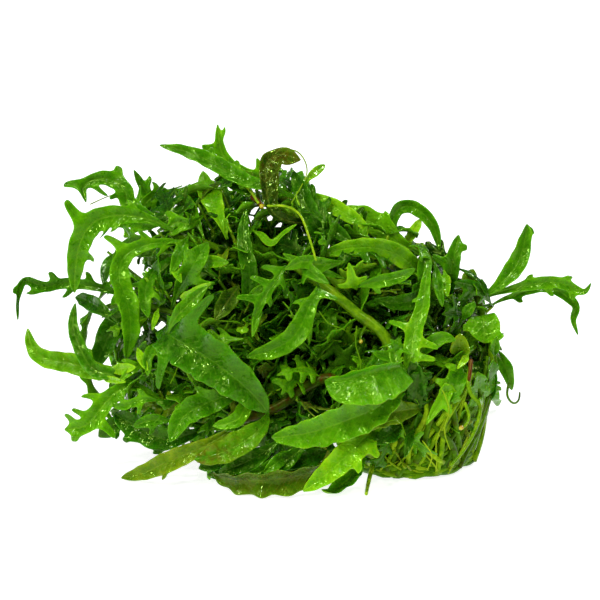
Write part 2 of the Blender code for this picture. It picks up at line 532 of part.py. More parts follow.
def main():
    for old in list(bpy.data.objects):
        bpy.data.objects.remove(old)
    clump = bpy.data.objects.new("clump", None)
    bpy.context.scene.collection.objects.link(clump)
    pieces = {"root_puck": (*puck_solid(), ROOT_COLOUR)}
    for name, (foot_radius, tip_radius, points) in STEMS.items():
        verts, faces = stem_solid([place(*p) for p in points], foot_radius, tip_radius)
        pieces[name] = (verts, faces, STEM_COLOUR)
    for leaf in all_leaves():
        pieces[leaf.name] = (*leaf.solid(), leaf_colour(leaf.name))
    corners = [v for verts, _, _ in pieces.values() for v in verts]
    low = Vector([min(v[k] for v in corners) for k in range(3)])
    high = Vector([max(v[k] for v in corners) for k in range(3)])
    stand = Vector(((low.x + high.x) / 2, (low.y + high.y) / 2, 0))
    for name, (verts, faces, colour) in pieces.items():
        roughness = ROOT_ROUGHNESS if name == "root_puck" else WET_ROUGHNESS
        add_object(name, [v - stand for v in verts], faces, finish_of(name, colour, roughness), clump)


main()
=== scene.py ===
"""The looks of a wet clump of cut-leaved hygrophila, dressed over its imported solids.

Places are in millimetres, as (across, up, out) for someone who looks at the front from a little above, or as
(x, distance to the front, height). They become metres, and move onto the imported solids, when a mesh is made.
"""

import json
import math
import random

import bpy
from mathutils import Matrix, Vector, noise

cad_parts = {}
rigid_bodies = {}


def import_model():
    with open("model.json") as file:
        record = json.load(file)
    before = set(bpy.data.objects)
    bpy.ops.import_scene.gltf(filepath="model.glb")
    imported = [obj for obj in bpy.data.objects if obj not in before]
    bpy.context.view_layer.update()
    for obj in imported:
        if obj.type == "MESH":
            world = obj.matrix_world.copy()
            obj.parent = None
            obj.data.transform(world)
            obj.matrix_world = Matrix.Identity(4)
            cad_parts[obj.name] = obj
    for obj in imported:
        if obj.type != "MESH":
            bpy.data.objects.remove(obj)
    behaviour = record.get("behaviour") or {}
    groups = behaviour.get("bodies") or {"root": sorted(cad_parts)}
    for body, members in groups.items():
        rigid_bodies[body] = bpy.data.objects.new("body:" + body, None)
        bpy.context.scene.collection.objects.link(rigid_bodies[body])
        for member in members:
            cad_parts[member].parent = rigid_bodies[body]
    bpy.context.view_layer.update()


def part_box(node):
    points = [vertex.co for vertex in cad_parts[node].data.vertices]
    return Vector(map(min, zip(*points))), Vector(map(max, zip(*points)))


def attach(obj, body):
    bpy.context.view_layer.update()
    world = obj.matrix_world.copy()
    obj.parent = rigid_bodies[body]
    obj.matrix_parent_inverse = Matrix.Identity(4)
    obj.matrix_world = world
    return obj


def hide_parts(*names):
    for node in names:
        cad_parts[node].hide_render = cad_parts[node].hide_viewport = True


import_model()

# The growing cup.
# The clump was grown in a round cup, whose wall and flat bottom moulded the root puck. Its outline is the one
# thing that both the solids and this script know, so it also says how far the clump was moved to stand.
METRES_PER_MM = 0.001
SIGHT_ABOVE_HORIZON = math.radians(15)
ACROSS = Vector((1, 0, 0))
UP = Vector((0, math.sin(SIGHT_ABOVE_HORIZON), math.cos(SIGHT_ABOVE_HORIZON)))
OUT = Vector((0, -math.cos(SIGHT_ABOVE_HORIZON), math.sin(SIGHT_ABOVE_HORIZON)))
PUCK_MIDDLE = (22.0, 6.0)
PUCK_HALF_WIDTH = 13.0
PUCK_HALF_DEPTH = 19.0
PUCK_HEIGHT = 7.0
PUCK_WAVES = ((3, 0.025, 1.0), (7, 0.02, 0.0))


def seen(across, up, out):
    """A point of the front, in the axes of someone who looks at it from a little above."""
    return across * ACROSS + up * UP + out * OUT


def place(x, front, height):
    """A point by its distance to the front of the middle and its height."""
    return Vector((x, -front, height))


def on_puck(angle, height, share=1.0):
    """A point of the puck's wall, or nearer its middle when the share is less than one."""
    waves = sum(depth * math.sin(times * angle + start) for times, depth, start in PUCK_WAVES)
    reach = share * (1 + waves)
    x = PUCK_MIDDLE[0] + PUCK_HALF_WIDTH * reach * math.cos(angle)
    return place(x, PUCK_MIDDLE[1] + PUCK_HALF_DEPTH * reach * math.sin(angle), height)


def stand_shift():
    """How far the solids stand from the places given here: the middle of the puck's outline tells."""
    wall = [on_puck(2 * math.pi * k / 20, 0) for k in range(20)]
    low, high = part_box("root_puck")
    shift = Vector((0, 0, 0))
    for k in (0, 1):
        own = (min(p[k] for p in wall) + max(p[k] for p in wall)) / 2
        shift[k] = own - (low[k] + high[k]) / 2 / METRES_PER_MM
    return shift


STAND = stand_shift()


def stood(point):
    """A point in millimetres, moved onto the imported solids, in metres."""
    return (point - STAND) * METRES_PER_MM


# The table and the light.
# The clump lies on a plain white table. One soft lamp stands high in front, one behind gives the wet leaves
# their bright edges, and four smaller ones give the glints.
TABLE_WHITES = ("#bebebc", "#c6c6c4")
TABLE_GLOW = 0.86
TABLE_HALF_WIDTH = 3.0
CAMERA_DISTANCE = 2.0
VIEW_WIDTH = 0.12
SENSOR_WIDTH = 36.0
VIEW_MIDDLE_UP = 29.6
ROOM_LIGHT = 0.1
# Each lamp: the way that it shines from, its strength, and how wide it looks in degrees.
LAMPS = {
    "soft_lamp_front": ((-0.35, -0.5, 1.0), 0.85, 7),
    "soft_lamp_behind": ((0.5, 0.7, 0.9), 1.1, 7),
    "glint_lamp_left": ((-0.55, -0.85, 0.7), 0.85, 5.5),
    "glint_lamp_right": ((0.45, -0.6, 1.1), 0.75, 5.5),
    "glint_lamp_high": ((-0.1, -0.3, 1.3), 0.7, 5.5),
    "glint_lamp_side": ((-0.95, -0.35, 0.6), 0.55, 5.5),
}


def linear(hex_colour):
    """An sRGB colour such as #3f7307 as linear red, green, blue and alpha."""
    channels = [int(hex_colour[k : k + 2], 16) / 255 for k in (1, 3, 5)]
    return [c / 12.92 if c <= 0.04045 else ((c + 0.055) / 1.055) ** 2.4 for c in channels] + [1.0]


def set_node(tree, node, settings=None, links=None):
    """Give a node its settings, by name or socket, and its links, from sockets or nodes' first outputs."""
    for name, value in (settings or {}).items():
        if name == "stops":
            stops = node.color_ramp.elements
            places = sorted(value)
            stops[0].position, stops[1].position = places[0], places[-1]
            for at in places[1:-1]:
                stops.new(at)
            for stop, at in zip(stops, places):
                stop.color = linear(value[at])
        elif isinstance(name, int) or name in node.inputs:
            node.inputs[name].default_value = value
        else:
            setattr(node, name, value)
    for name, source in (links or {}).items():
        socket = source.outputs[0] if isinstance(source, bpy.types.Node) else source
        tree.links.new(socket, node.inputs[name])
    return node


def add_node(tree, kind, settings=None, links=None):
    """One new node, with its settings and links."""
    return set_node(tree, tree.nodes.new("ShaderNode" + kind), settings, links)


def start_finish(name):
    """A new material, its nodes, its shader, and the places on the object itself."""
    finish = bpy.data.materials.new(name)
    finish.use_nodes = True
    tree = finish.node_tree
    where = add_node(tree, "TexCoord").outputs["Object"]
    return finish, tree, tree.nodes["Principled BSDF"], where


def lay_table():
    """A white coated board, matt, with a grain too fine to see but for a slight unevenness."""
    mesh = bpy.data.meshes.new("table")
    half = TABLE_HALF_WIDTH
    corners = [(-half, -half, 0), (half, -half, 0), (half, half, 0), (-half, half, 0)]
    mesh.from_pydata(corners, [], [(0, 1, 2, 3)])
    table = bpy.data.objects.new("table", mesh)
    bpy.context.scene.collection.objects.link(table)
    finish, tree, shader, where = start_finish("white_coated_board")
    darker, lighter = [linear(white) for white in TABLE_WHITES]
    grain = add_node(tree, "TexNoise", {"Scale": 60.0, "Detail": 3.0}, {"Vector": where})
    shade = add_node(tree, "Mix", {"data_type": "RGBA", 6: darker, 7: lighter}, {0: grain})
    set_node(tree, shader, {"Emission Color": linear("#ffffff"), "Emission Strength": TABLE_GLOW,
                            "Roughness": 0.55, "Specular IOR Level": 0.2}, {"Base Color": shade.outputs[2]})
    mesh.materials.append(finish)


def light_room():
    """Weak, even light from a pale room, and the lamps."""
    world = bpy.data.worlds.new("pale_room")
    world.use_nodes = True
    back = world.node_tree.nodes["Background"]
    back.inputs["Color"].default_value = linear("#fbfcff")
    back.inputs["Strength"].default_value = ROOM_LIGHT
    bpy.context.scene.world = world
    for name, (way, strength, width) in LAMPS.items():
        lamp = bpy.data.lights.new(name, "SUN")
        lamp.energy = strength
        lamp.angle = math.radians(width)
        holder = bpy.data.objects.new(name, lamp)
        holder.rotation_mode = "QUATERNION"
        holder.rotation_quaternion = Vector(way).to_track_quat("Z", "Y")
        bpy.context.scene.collection.objects.link(holder)


def set_camera():
    """A long lens, 2 m in front of the clump and a little above it."""
    camera = bpy.data.cameras.new("camera")
    camera.sensor_width = SENSOR_WIDTH
    camera.lens = SENSOR_WIDTH * CAMERA_DISTANCE / VIEW_WIDTH
    camera.clip_end = 20.0
    holder = bpy.data.objects.new("camera", camera)
    holder.location = stood(seen(0, VIEW_MIDDLE_UP, 0)) + OUT * CAMERA_DISTANCE
    holder.rotation_mode = "QUATERNION"
    holder.rotation_quaternion = OUT.to_track_quat("Z", "Y")
    bpy.context.scene.collection.objects.link(holder)
    bpy.context.scene.camera = holder
    bpy.context.scene.view_settings.view_transform = "Standard"


# Nothing that a new scene starts with stays in it.
for old in list(bpy.data.objects):
    if old.type in ("LIGHT", "CAMERA") or old.name == "Cube":
        bpy.data.objects.remove(old)
lay_table()
light_room()
set_camera()

# The root puck.
# Pale, soft roots and the cut feet of the stems, matted together by growth and pressed smooth by the cup,
# round a wet core painted near black as painted shade. The roots run round the wall and over the top, and
# nothing but their tangle holds them.
ROOT_STRANDS = 150
ROOT_RADIUS = (0.3, 0.8)
ROOT_SHADES = (0.2, 0.85)
# The roots of the wall stay between these heights, and those of the top start at the third.
LOWEST_ROOT = 0.85
HIGHEST_ROOT = 6.4
TOP_ROOT_FOOT = 5.6
CORE_RINGS = 9
CORE_SIDES = 56
CORE_FOOT = 0.25
CORE_SHARE = 0.92
TUBE_SIDES = 6
# Short steps between two points of a curve.
CURVE_STEPS = 12
# What a strand tells its finish at each point.
STRAND_VALUES = ("along_strand", "tint")


def even_points(points, count):
    """The smooth curve through these points, as this many points at equal distances."""
    last = len(points) - 1
    line = []
    for span in range(last):
        a, b = points[max(span - 1, 0)], points[span]
        c, d = points[span + 1], points[min(span + 2, last)]
        for step in range(CURVE_STEPS):
            t = step / CURVE_STEPS
            line.append(0.5 * (2 * b + (c - a) * t + (2 * a - 5 * b + 4 * c - d) * t**2
                               + (3 * b - a - 3 * c + d) * t**3))
    line.append(points[last].copy())
    run = [0.0]
    for a, b in zip(line, line[1:]):
        run.append(run[-1] + (b - a).length)
    found = []
    at = 0
    for i in range(count):
        wanted = run[-1] * i / (count - 1)
        while at < len(run) - 2 and run[at + 1] < wanted:
            at += 1
        share = (wanted - run[at]) / max(run[at + 1] - run[at], 1e-9)
        found.append(line[at].lerp(line[at + 1], min(share, 1.0)))
    return found


def path_length(points):
    return sum((b - a).length for a, b in zip(points, points[1:]))


def tangents(points):
    last = len(points) - 1
    return [(points[min(i + 1, last)] - points[max(i - 1, 0)]).normalized() for i in range(last + 1)]


def carried_sides(along, first, start):
    """The sideways direction at each point, carried from one point to both ends without twisting."""
    sides = [None] * len(along)
    sides[start] = (first - first.dot(along[start]) * along[start]).normalized()
    for step, stop in ((1, len(along)), (-1, -1)):
        for i in range(start + step, stop, step):
            kept = sides[i - step]
            sides[i] = (kept - kept.dot(along[i]) * along[i]).normalized()
    return sides


class Growth:
    """Faces that grow into one mesh, with what their finish needs to know at each point."""

    def __init__(self, names):
        self.verts, self.faces = [], []
        self.values = {name: [] for name in names}

    def add(self, verts, faces, **values):
        start = len(self.verts)
        self.verts += verts
        self.faces += [tuple(v + start for v in face) for face in faces]
        for name, numbers in values.items():
            self.values[name] += numbers

    def finish(self, name, finishes, slot, nodes=(), smooth_levels=0):
        """The object itself: it rides on the clump and stands for the nodes. Its slot is not used."""
        mesh = bpy.data.meshes.new(name)
        mesh.from_pydata([stood(v) for v in self.verts], [], self.faces)
        for value_name, numbers in self.values.items():
            mesh.attributes.new(value_name, "FLOAT", "POINT").data.foreach_set("value", numbers)
        mesh.shade_smooth()
        mesh.materials.append(finishes)
        piece = bpy.data.objects.new(name, mesh)
        bpy.context.scene.collection.objects.link(piece)
        if smooth_levels:
            rounding = piece.modifiers.new("rounding", "SUBSURF")
            rounding.levels = rounding.render_levels = smooth_levels
        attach(piece, "root")
        if nodes:
            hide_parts(*nodes)
        return piece


def grow_tube(growth, points, radii, sides, tint):
    """A round strand along these points, closed at both ends, its length told to its finish."""
    along = tangents(points)
    first = ACROSS if abs(along[0].x) < 0.9 else UP
    across = carried_sides(along, first.copy(), 0)
    verts, lengths = [], []
    run = 0.0
    for i, (point, way, side) in enumerate(zip(points, along, across)):
        run += (point - points[i - 1]).length if i else 0.0
        other = way.cross(side)
        for k in range(sides):
            angle = 2 * math.pi * k / sides
            verts.append(point + (side * math.cos(angle) + other * math.sin(angle)) * radii[i])
            lengths.append(run)
    faces = [tuple(reversed(range(sides)))]
    for i in range(len(points) - 1):
        for k in range(sides):
            a, b = i * sides + k, i * sides + (k + 1) % sides
            faces.append((a, b, b + sides, a + sides))
    faces.append(tuple((len(points) - 1) * sides + k for k in range(sides)))
    growth.add(verts, faces, along_strand=lengths, tint=[tint] * len(verts))


def root_fibre_finish():
    """Living root, grown in gel: soft, smooth and half clear, so it looks pale yellow-green to brownish."""
    finish, tree, shader, where = start_finish("wet_root_fibre")
    tint = add_node(tree, "Attribute", {"attribute_name": "tint"}).outputs["Fac"]
    # Stains about 4 mm long.
    stain = add_node(tree, "TexNoise", {"Scale": 250.0, "Detail": 3.0}, {"Vector": where})
    mixed = add_node(tree, "Math", {"operation": "MULTIPLY_ADD", 1: 0.5, 2: -0.22}, {0: stain})
    shade = add_node(tree, "Math", {"operation": "ADD", "use_clamp": True}, {0: tint, 1: mixed})
    shades = {0: "#1c3a02", 0.35: "#3a6a05", 0.65: "#62920a", 1: "#98b41c"}
    ramp = add_node(tree, "ValToRGB", {"stops": shades}, {"Fac": shade})
    # Skin cells about half a millimetre long.
    cells = add_node(tree, "TexNoise", {"Scale": 2000.0, "Detail": 2.0}, {"Vector": where})
    bump = add_node(tree, "Bump", {"Strength": 0.4, "Distance": 0.0001}, {"Height": cells})
    set_node(tree, shader, {"Roughness": 0.3, "Specular IOR Level": 0.1, "Specular Tint": linear("#d0f050")},
             {"Base Color": ramp, "Normal": bump})
    return finish


def painted_shade_core_finish():
    """Old root and gel, painted near black-green as shade: wet and uneven, in clots of about 2 mm."""
    finish, tree, shader, where = start_finish("matted_core_painted_shade")
    clots = add_node(tree, "TexNoise", {"Scale": 500.0, "Detail": 5.0}, {"Vector": where})
    ramp = add_node(tree, "ValToRGB", {"stops": {0.35: "#0a1602", 0.7: "#2b4206"}}, {"Fac": clots})
    bump = add_node(tree, "Bump", {"Strength": 0.9, "Distance": 0.0006}, {"Height": clots})
    set_node(tree, shader, {"Roughness": 0.45, "Specular IOR Level": 0.3},
             {"Base Color": ramp, "Normal": bump})
    return finish


def root_core():
    """The core that shows between the roots, a little inside the puck's outline, dark with painted shade."""
    growth = Growth([])
    count = CORE_SIDES
    verts = []
    for i in range(CORE_RINGS):
        rise = i / (CORE_RINGS - 1)
        height = CORE_FOOT + (PUCK_HEIGHT - 0.9) * rise
        edge = CORE_SHARE - 0.1 * rise**4 - 0.04 * (1 - rise) ** 4
        for k in range(count):
            angle = 2 * math.pi * k / count
            dent = noise.noise(on_puck(angle, height, edge) / 2)
            verts.append(on_puck(angle, height, edge * (1 + 0.03 * dent)))
    faces = [tuple(range(count))]
    for i in range(CORE_RINGS - 1):
        for k in range(count):
            a, b = i * count + k, i * count + (k + 1) % count
            faces.append((a, a + count, b + count, b))
    faces.append(tuple(reversed(range((CORE_RINGS - 1) * count, CORE_RINGS * count))))
    growth.add(verts, faces)
    growth.finish("root_core", painted_shade_core_finish(), "root", ["root_puck"])


def wall_strand(rng):
    """A root that wanders round the puck's wall and up or down it, and whose ends turn inwards."""
    angle = rng.uniform(0, 2 * math.pi)
    turn = rng.choice((-1, -1, -1, 1)) * rng.uniform(0.6, 1.5)
    low, high = rng.uniform(0.4, 3.0), rng.uniform(0.8, HIGHEST_ROOT)
    points = []
    for i in range(9):
        t = i / 8
        height = low + (high - low) * t + 0.4 * math.sin(5 * t + angle * 3)
        share = rng.uniform(0.935, 0.965) - 0.09 * abs(2 * t - 1) ** 8
        height = min(max(height, LOWEST_ROOT), HIGHEST_ROOT)
        points.append(on_puck(angle + turn * t, height, share))
    return points


def top_strand(rng):
    """A root over the puck's top, sunk at its ends."""
    start, end = rng.uniform(0, 2 * math.pi), rng.uniform(0, 2 * math.pi)
    points = []
    for i in range(6):
        t = i / 5
        angle = start + (end - start) * t
        height = TOP_ROOT_FOOT + 0.9 * math.sin(math.pi * t) + rng.uniform(-0.2, 0.2)
        points.append(on_puck(angle, height, 0.9 - 0.5 * math.sin(math.pi * t) * rng.uniform(0.6, 1)))
    return points


def root_mat(finish):
    """The roots that show: three along the wall for each one over the top, thinner at their ends."""
    growth = Growth(STRAND_VALUES)
    rng = random.Random(11)
    for strand in range(ROOT_STRANDS):
        points = top_strand(rng) if strand % 4 == 0 else wall_strand(rng)
        count = max(6, round(path_length(points) / 1.1))
        line = even_points(points, count)
        thick = rng.uniform(*ROOT_RADIUS)
        fullness = [math.sin(math.pi * (i + 0.6) / (count + 0.2)) ** 0.4 for i in range(count)]
        radii = [thick * (0.3 + 0.7 * full) for full in fullness]
        grow_tube(growth, line, radii, TUBE_SIDES, rng.uniform(*ROOT_SHADES))
    growth.finish("root_strands", finish, "root", ["root_puck"])


root_fibre = root_fibre_finish()
root_core()
root_mat(root_fibre)

# The stems.
# Soft green stems, thick for their length, with a swollen joint wherever a pair of leaves grows. Each rises
# from the puck, where it has grown together with the roots, and leans with the clump.
STEM_SIDES = 12
STEM_STEP = 0.9
STEM_SINKS_IN = 0.6
JOINT_SPACING = 9.0
JOINT_SWELLING = 0.12
WET_STEM_GLOSS = 0.3
USUAL_STEM_SHADE = 0.6
# Each: its radius at its foot and at its tip, and its line as (x, distance to the front, height).
STEMS = {
    "stem_low_left": (1.2, 0.7, [(13, 12, 7.3), (12, 12.6, 9.6), (4, 16, 11.5), (-10, 20, 11),
                                 (-22, 19, 12), (-32, 13.4, 15.2)]),
    "stem_left": (1.2, 0.7, [(15, 4, 7.3), (14, 4.4, 11), (4, 6, 19), (-8, 7.5, 25), (-19, 7.5, 28.5),
                             (-30, 6, 31)]),
    "stem_upper_left": (1.2, 0.7, [(17, -3, 7.3), (16, -3, 12), (8, -2, 24), (-4, -0.5, 34),
                                   (-15, 1, 41), (-26, 2, 45)]),
    "stem_top": (1.2, 0.7, [(22, -4, 7.3), (22, -4, 13), (19, -4, 26), (12, -3, 38), (5, -1, 47),
                            (0, 0, 52)]),
    "stem_top_right": (1.2, 0.7, [(25, 2, 7.3), (25.4, 2.4, 13), (24, 4, 24), (19, 6, 35), (12, 7, 44)]),
    "stem_right": (1.2, 0.7, [(29, -3, 7.3), (30.5, -3, 14), (31, -3, 23), (29, -2.5, 32), (24, 0, 42)]),
    "stem_far_right": (1.2, 0.7, [(31, 5, 7.3), (33, 4.6, 12), (36, 4, 19), (36.6, 3, 26), (35, 2, 33)]),
    "stem_front": (1.3, 0.92, [(20, 16, 7.3), (20.6, 17, 12), (20, 19, 19), (17, 17.5, 27.5),
                              (11.5, 16, 32), (6.6, 15.2, 36), (-2, 13, 42)]),
    "stem_front_low": (1.4, 0.9, [(16, 17, 7.3), (15.6, 18, 11), (13, 20, 16), (6, 21.5, 20.3),
                                  (0, 23.5, 18.5), (-4.4, 24.8, 15.5), (-12, 26, 13)]),
    "stem_back_left": (1.2, 0.7, [(18, -8, 7.3), (17, -9, 11), (8, -15, 18), (-8, -18, 26),
                                  (-24, -14, 32)]),
    "stem_back_right": (1.2, 0.7, [(26, -8, 7.3), (26.6, -9, 11), (29, -14, 18), (26, -19, 27),
                                   (17, -18, 37)]),
}
# The shade of each stem, from dark olive (0) to pale yellow-green (1), where it isn't the usual one.
STEM_SHADES = {"stem_front": 0.7, "stem_front_low": 0.25, "stem_left": 0.45, "stem_far_right": 0.4}


def stem_skin_finish(name, gloss):
    """Stem skin, thin and waxy: yellow-green, mottled, browner where it is old, under a film of water."""
    finish, tree, shader, where = start_finish(name)
    tint = add_node(tree, "Attribute", {"attribute_name": "tint"}).outputs["Fac"]
    length = add_node(tree, "Attribute", {"attribute_name": "along_strand"}).outputs["Fac"]
    # Mottles of 1 to 2 mm.
    stain = add_node(tree, "TexNoise", {"Scale": 600.0, "Detail": 4.0, "Roughness": 0.7}, {"Vector": where})
    mixed = add_node(tree, "Math", {"operation": "MULTIPLY_ADD", 1: 1.1, 2: -0.58}, {0: stain})
    shade = add_node(tree, "Math", {"operation": "ADD", "use_clamp": True}, {0: tint, 1: mixed})
    shades = {0: "#5a2806", 0.14: "#3c3004", 0.3: "#365205", 0.55: "#4c7c05", 0.78: "#74a00a", 1: "#a4c61c"}
    ramp = add_node(tree, "ValToRGB", {"stops": shades}, {"Fac": shade})
    # A brownish ring at each joint, every 9 mm.
    ring = add_node(tree, "Math", {"operation": "PINGPONG", 1: JOINT_SPACING / 2}, {0: length})
    near = add_node(tree, "MapRange", {1: 0.0, 2: 0.8, 3: 0.25, 4: 0.0}, {0: ring})
    ringed = add_node(tree, "Mix", {"data_type": "RGBA", 7: linear("#6b5a17")}, {0: near, 6: ramp})
    # Skin cells of less than a millimetre.
    cells = add_node(tree, "TexNoise", {"Scale": 1400.0, "Detail": 2.0}, {"Vector": where})
    bump = add_node(tree, "Bump", {"Strength": 0.6, "Distance": 0.00014}, {"Height": cells})
    set_node(tree, shader, {"Roughness": 0.22, "Specular IOR Level": gloss,
                            "Specular Tint": linear("#d0f080")},
             {"Base Color": ringed.outputs[2], "Normal": bump})
    return finish


def stem_radii(count, length, foot_radius, tip_radius):
    """The stem's radius at each point: it tapers, and swells at its joints."""
    radii = []
    for i in range(count):
        share = i / (count - 1)
        from_joint = abs((share * length + JOINT_SPACING / 2) % JOINT_SPACING - JOINT_SPACING / 2)
        swelling = 1 + JOINT_SWELLING * math.exp(-((from_joint / 0.7) ** 2))
        radii.append((foot_radius + (tip_radius - foot_radius) * share) * swelling)
    return radii


def grow_stem(name, finish):
    """One of the large stems, whose foot sinks a little way into the puck."""
    foot_radius, tip_radius, points = STEMS[name]
    growth = Growth(STRAND_VALUES)
    line = [place(*p) for p in points]
    line[0].z -= STEM_SINKS_IN
    length = path_length(line)
    count = round(length / STEM_STEP)
    radii = stem_radii(count, length, foot_radius, tip_radius)
    shade = STEM_SHADES.get(name, USUAL_STEM_SHADE)
    grow_tube(growth, even_points(line, count), radii, STEM_SIDES, shade)
    growth.finish(name + "_skin", finish, "stem", [name])


stem_skin = stem_skin_finish("wet_stem_skin", WET_STEM_GLOSS)
for stem_name in STEMS:
    grow_stem(stem_name, stem_skin)

# The large leaves.
# Each is one thin soft blade, cut into fingers along its edges or left whole, with a groove along its rib.
# It grows from a stem without a joint, and lies as the weight of its water has bent it.
RIGHT = 1
LEFT = -1
BLADE_STEP = 1.15
BLADE_HALF_THICK = 0.19
EDGE_HALF_THICK = 0.09
# How far a blade's edges rise and wave, as shares of its half width, and how deep its rib lies at most.
CUPPING = 0.34
WAVING = 0.32
GROOVE = 0.12
RAGGEDNESS = 0.08
# How wide a blade's foot is, as a share of its width, how full its tip is, and its least half width.
FOOT_WIDTH = 0.14
TIP_FULLNESS = 0.62
LEAST_HALF_WIDTH = 0.12
# What a blade tells its finish at each point.
BLADE_VALUES = ("from_rib", "along_rib", "tint", "edge", "under", "stain")
# Where the columns of points stand across a blade, as shares of its half width.
COLUMNS = (-1.0, -0.55, 0.0, 0.55, 1.0)
# Along a finger: the share of its length, and its width as a share of the width where it leaves the blade.
FINGER_TAPER = ((0.25, 0.68), (0.55, 0.6), (0.86, 0.5), (1.0, 0.26))
FINGER_GROOVE = 0.06
